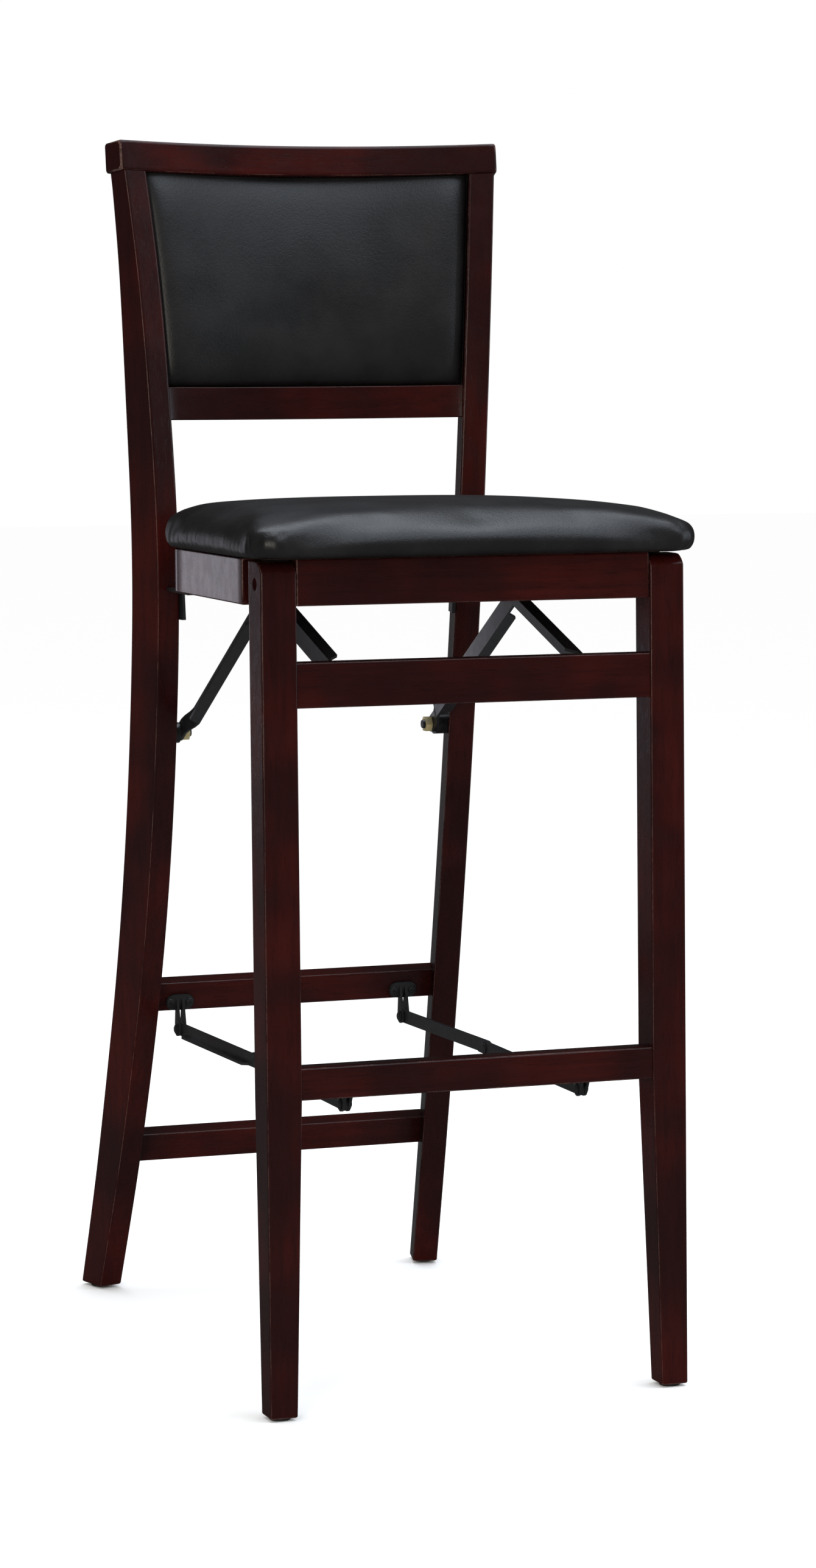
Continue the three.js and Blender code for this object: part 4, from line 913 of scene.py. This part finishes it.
def corner_lobe(along, height):
    """A front corner's relief in millimetres: a round lobe, and a crease that curls over the top of it."""
    side, rise = (along - LOBE_ALONG) / LOBE_SIZE, (height - LOBE_HEIGHT) / LOBE_SIZE
    ring, turn = np.hypot(side, rise), np.arctan2(rise, side)
    curl = clamp((turn - CREASE_FROM) / CREASE_GROWTH) * (turn > 0) + (turn < CREASE_TAIL)
    crease = CREASE_DEPTH * curl * np.exp(-((ring - CREASE_RING) / CREASE_WIDTH) ** 2)
    return LOBE_DEPTH * clamp(1 - ring ** 2) ** 2 - crease


def gather_seat(piece):
    """Moves points along their normals: low waves round the rim, and a lobe at each front corner.

    The waves are strongest low on the rim, at the corners and along the sides' rear half.
    """
    points, normal = vertex_array(piece, "co"), vertex_array(piece, "normal")
    x, y, z = points.T
    half_width = np.interp(y, (SEAT_FRONT, SEAT_REAR), (SEAT_FRONT_WIDTH / 2, SEAT_REAR_WIDTH / 2))
    round_x, round_y = x / half_width, (y - SEAT_MIDDLE) / ((SEAT_REAR - SEAT_FRONT) / 2)
    rise = (z - SEAT_BASE) / PAD_HEIGHT
    rim = clamp((np.maximum(np.abs(round_x), np.abs(round_y)) - RIM_FROM) / RIM_GROWTH)
    low = clamp(1 - rise / LOW_TO) * clamp(rise / LOW_FROM)
    walk = np.arctan2(round_y, round_x) * RIM_TURN
    wave = sum(size * np.sin(walk / length + phase) for size, length, phase in RIM_WAVES)
    share = ALL_ROUND + AT_REAR * clamp((y - SEAT_MIDDLE) / REAR_GROWTH) * (np.abs(round_x) > REAR_SIDES)
    for front, size in ((True, AT_FRONT_CORNERS), (False, AT_REAR_CORNERS)):
        along, at_corner = seat_corner(points, front)
        share = share + size * np.exp(-(along / CORNER_SPREAD) ** 2) * at_corner
        if front:
            lobes = corner_lobe(along, z - SEAT_BASE)
    points = points + normal * (rim * (wave * low * share + lobes) * MM)[:, None]
    points[:, 2] = np.maximum(points[:, 2], SEAT_BASE)
    set_points(piece, points)


# Back pad

BACK_COLUMNS, BACK_ROWS = 97, 73
BACK_START = 0.9
SIDE_POWER, BOTTOM_POWER = 14, 12
TOP_BAND, TOP_FALL = 0.16, 0.33
BACK_SMOOTHING = 30


def back_surface(share, rise, depth):
    """A point of the back pad, bowed like the rails.

    share runs across from post to post, rise from rail to rail, and depth lies behind the recess.
    """
    level = lower_rail_top(LOWER_Y) + (POST_TOP - lower_rail_top(LOWER_Y)) * rise
    front = post_inner_front(level) + LOWER_RECESS
    y = front + depth + (LOWER_BOW + (RAIL_BOW - LOWER_BOW) * rise) * (1 - share ** 2)
    x = share * (post_inner_x(front + depth, level) - TIGHT)
    low, high = lower_rail_top(y) + TIGHT, rail_underside(y) - TIGHT
    return np.stack((x, y, low + (high - low) * rise), axis=-1)


def eased(count):
    """Numbers from -1 to 1 that lie closer together towards both ends: 1.5 t - 0.5 t^3."""
    t = np.linspace(-1, 1, count)
    return t * (1.5 - 0.5 * t ** 2)


def back_fullness(side, rise):
    """How far the pad stands out of its rim, from 0 to 1.

    It is sqrt(1 - side^14) across, sqrt(1 - fall^12) in the lower half, and a third less at the very top.
    """
    bottom = np.sqrt(1 - clamp(1 - 2 * rise) ** BOTTOM_POWER)
    top = 1 - TOP_FALL * clamp((rise - (1 - TOP_BAND)) / TOP_BAND) ** 2
    return np.sqrt(1 - side ** SIDE_POWER) * bottom * top


def back_cushion():
    """The padded back: a front grid and a rear grid joined round the rim, blown up with the rim held.

    The front stands forward of the rim by the crown times its fullness. After the blowing it is evened out,
    scaled to the crown and held between the posts and the rails.
    """
    side, rise = np.meshgrid(eased(BACK_COLUMNS), (eased(BACK_ROWS) + 1) / 2)
    front = back_surface(side, rise, PAD_EDGE - BACK_START * PAD_CROWN * back_fullness(side, rise))
    rear = back_surface(side, rise, PAD_EDGE + RUNNING)
    count = side.size
    number = np.arange(count).reshape(side.shape)
    rim = np.concatenate((number[0], number[1:, -1], number[-1, -2::-1], number[-2:0:-1, 0]))
    ahead = np.roll(rim, -1)
    front_faces = grid_faces(*side.shape, closed=False)
    faces = np.vstack((front_faces, front_faces[:, ::-1] + count,
                       np.stack((rim, ahead, ahead + count, rim + count), axis=-1)))
    piece = new_piece("cushion_back", np.stack((front, rear)), faces.tolist())
    outward(piece)
    pinned = np.ones((2 * BACK_ROWS, BACK_COLUMNS), dtype=bool)
    pinned[1:BACK_ROWS - 1, 1:-1] = False
    inflate(piece, pinned, pressure=2, cap=3 * MM)
    points = vertex_array(piece, "co")
    rest = back_surface(side, rise, PAD_EDGE)[..., 1] + FLOOR_SHIFT
    proud = smoothed(rest - points[:count, 1].reshape(side.shape), BACK_SMOOTHING)
    points[:count, 1] = (rest - proud * PAD_CROWN / proud.max()).ravel()
    y = points[:, 1] - FLOOR_SHIFT
    limit = post_inner_x(y, points[:, 2]) - TIGHT
    points[:, 0] = np.clip(points[:, 0], -limit, limit)
    points[:, 2] = np.clip(points[:, 2], lower_rail_top(y) + TIGHT, rail_underside(y) - TIGHT)
    set_points(piece, points)
    subdivide(piece)
    return dressed(piece, "back_frame", "back_pad", VINYL)


# Steel, boards and glides keep the frame's own forms, merged and shaded smooth

def smooth_copy(node, body, finish):
    """A copy of a node of the frame whose loose triangles are joined and shaded smooth."""
    source = frame["nodes"][node]
    piece = bpy.data.objects.new(f"{node}_made", source.data.copy())
    bpy.context.scene.collection.objects.link(piece)
    merge(piece)
    harden(piece, degrees=30)
    return dressed(piece, body, node, finish)


def hardware():
    """Every node that isn't solid wood or a cushion."""
    finishes = {"black_steel": STEEL, "yellow_zinc": ZINC, "plywood": PLYWOOD, "black_nylon": NYLON}
    body_of = {node: body for body, nodes in frame["record"]["behaviour"]["bodies"].items() for node in nodes}
    for entry in frame["record"]["subparts"]:
        node, slot = entry["node"], entry["material_slot"]
        if slot in finishes:
            smooth_copy(node, body_of[node], finishes[slot])


def build():
    """Every piece of the stool."""
    for label, side in SIDES:
        back_post(label, side)
        front_leg(label, side)
        side_apron(label, side)
    top_rail()
    lower_rail()
    for row in REAR_STRETCHERS:
        rear_stretcher(*row)
    for row in FRONT_BARS:
        front_bar(*row)
    cross_apron("apron_front", "seat_front_apron", LEG_HALF - LEG_WIDTH - 2 * RUNNING,
                FRONT_APRON_Y - PIVOT_Y, FRONT_APRON_THICKNESS)
    cross_apron("apron_rear", "seat_rear_apron", apron_corner()[0] - RUNNING,
                APRON_DEPTH - APRON_THICKNESS / 2, APRON_THICKNESS)
    seat_cushion()
    back_cushion()
    hardware()


# Camera, floor and light

PICTURE_HEIGHT, FOCAL_PIXELS, SENSOR_HEIGHT = 2576, 7691, 36
CAMERA_PLACE = (-1.4325, -3.6416 + FLOOR_SHIFT, 0.942)
CAMERA_YAW, CAMERA_PITCH = 0.3602, 0.10551
FLOOR_HALF = 14.0
LAMPS = (  # name, place, the point it faces, size in metres, power in watts, colour
    ("overhead", (0.3, 0.3, 2.6), (0, 0, 0.7), (2.0, 1.1), 31, (0.84, 0.91, 1.0)),
    ("front_above", (0.7, -1.2, 2.5), (0, 0.1, 0.9), (1.4, 1.1), 15, (0.78, 0.87, 1.0)),
    ("key", (-1.7, -2.6, 2.2), (0, 0, 0.6), (1.2, 1.2), 5, (1.0, 0.98, 0.96)),
    ("left", (-2.1, -2.9, 1.15), (0, 0.1, 0.9), (0.5, 1.5), 30, (1.0, 0.95, 0.82)),
    ("left_rear", (-0.58, 3.2, 0.55), (-0.2, 0, 0.7), (0.4, 0.9), 1.8, (0.9, 0.88, 1.0)),
    ("right", (2.1, -0.95, 1.2), (0, 0, 0.85), (0.5, 1.6), 10, (0.8, 0.9, 1.0)),
)


def look(yaw, pitch):
    """A camera's turn from its yaw towards +X and its pitch below the horizon."""
    level = math.cos(pitch)
    forward = Vector((math.sin(yaw) * level, math.cos(yaw) * level, -math.sin(pitch)))
    right = Vector((math.cos(yaw), -math.sin(yaw), 0))
    return Matrix((right, right.cross(forward), -forward)).transposed()


def photo_camera():
    """The photograph's camera; its focal length is known in pixels of the picture's height."""
    data = bpy.data.cameras.new("photo_camera")
    data.sensor_fit, data.sensor_height = "VERTICAL", SENSOR_HEIGHT
    data.lens = FOCAL_PIXELS / PICTURE_HEIGHT * SENSOR_HEIGHT
    data.clip_end = 60
    camera = bpy.data.objects.new("photo_camera", data)
    camera.matrix_world = Matrix.Translation(CAMERA_PLACE) @ look(CAMERA_YAW, CAMERA_PITCH).to_4x4()
    bpy.context.scene.collection.objects.link(camera)
    bpy.context.scene.camera = camera


def pale_floor():
    """A white floor that lights the stool fully but shows only dimly in its gloss."""
    pale = Finish(bpy.data.materials.new("pale_floor"))
    glossy = pale.node("ShaderNodeLightPath", output="Is Glossy Ray")
    white, dim = (pale.node("ShaderNodeBsdfDiffuse", None, {"Color": rgb(grey, grey, grey)})
                  for grey in (0.98, 0.06))
    return pale.end(pale.node("ShaderNodeMixShader", None, {0: glossy, 1: white, 2: dim}))


def studio_sky():
    """A white sky that lights softly and shows only dimly in gloss."""
    sky = Finish(bpy.data.worlds.new("studio"))
    glossy = sky.node("ShaderNodeLightPath", output="Is Glossy Ray")
    white = {"Color": rgb(1.0, 1.0, 1.0), "Strength": 1 - glossy * 0.97}
    return sky.end(sky.node("ShaderNodeBackground", None, white), "ShaderNodeOutputWorld")


def lamp(name, place, aim, size, power, colour):
    """A soft rectangular lamp that faces its aim."""
    data = bpy.data.lights.new(name, "AREA")
    data.shape, data.size, data.size_y = "RECTANGLE", *size
    data.energy, data.color = power, colour
    light = bpy.data.objects.new(name, data)
    turn = (Vector(aim) - Vector(place)).to_track_quat("-Z", "Y").to_matrix().to_4x4()
    light.matrix_world = Matrix.Translation(place) @ turn
    bpy.context.scene.collection.objects.link(light)


def studio():
    """A pale floor, a pale sky and soft lamps."""
    corners = [(x * FLOOR_HALF, y * FLOOR_HALF, 0) for x, y in ((-1, -1), (1, -1), (1, 1), (-1, 1))]
    mesh = bpy.data.meshes.new("floor")
    mesh.from_pydata(corners, [], [(0, 1, 2, 3)])
    mesh.materials.append(pale_floor())
    floor = bpy.data.objects.new("floor", mesh)
    bpy.context.scene.collection.objects.link(floor)
    bpy.context.scene.world = studio_sky()
    for row in LAMPS:
        lamp(*row)


bpy.context.scene.view_settings.view_transform = "Standard"
photo_camera()
studio()
build()
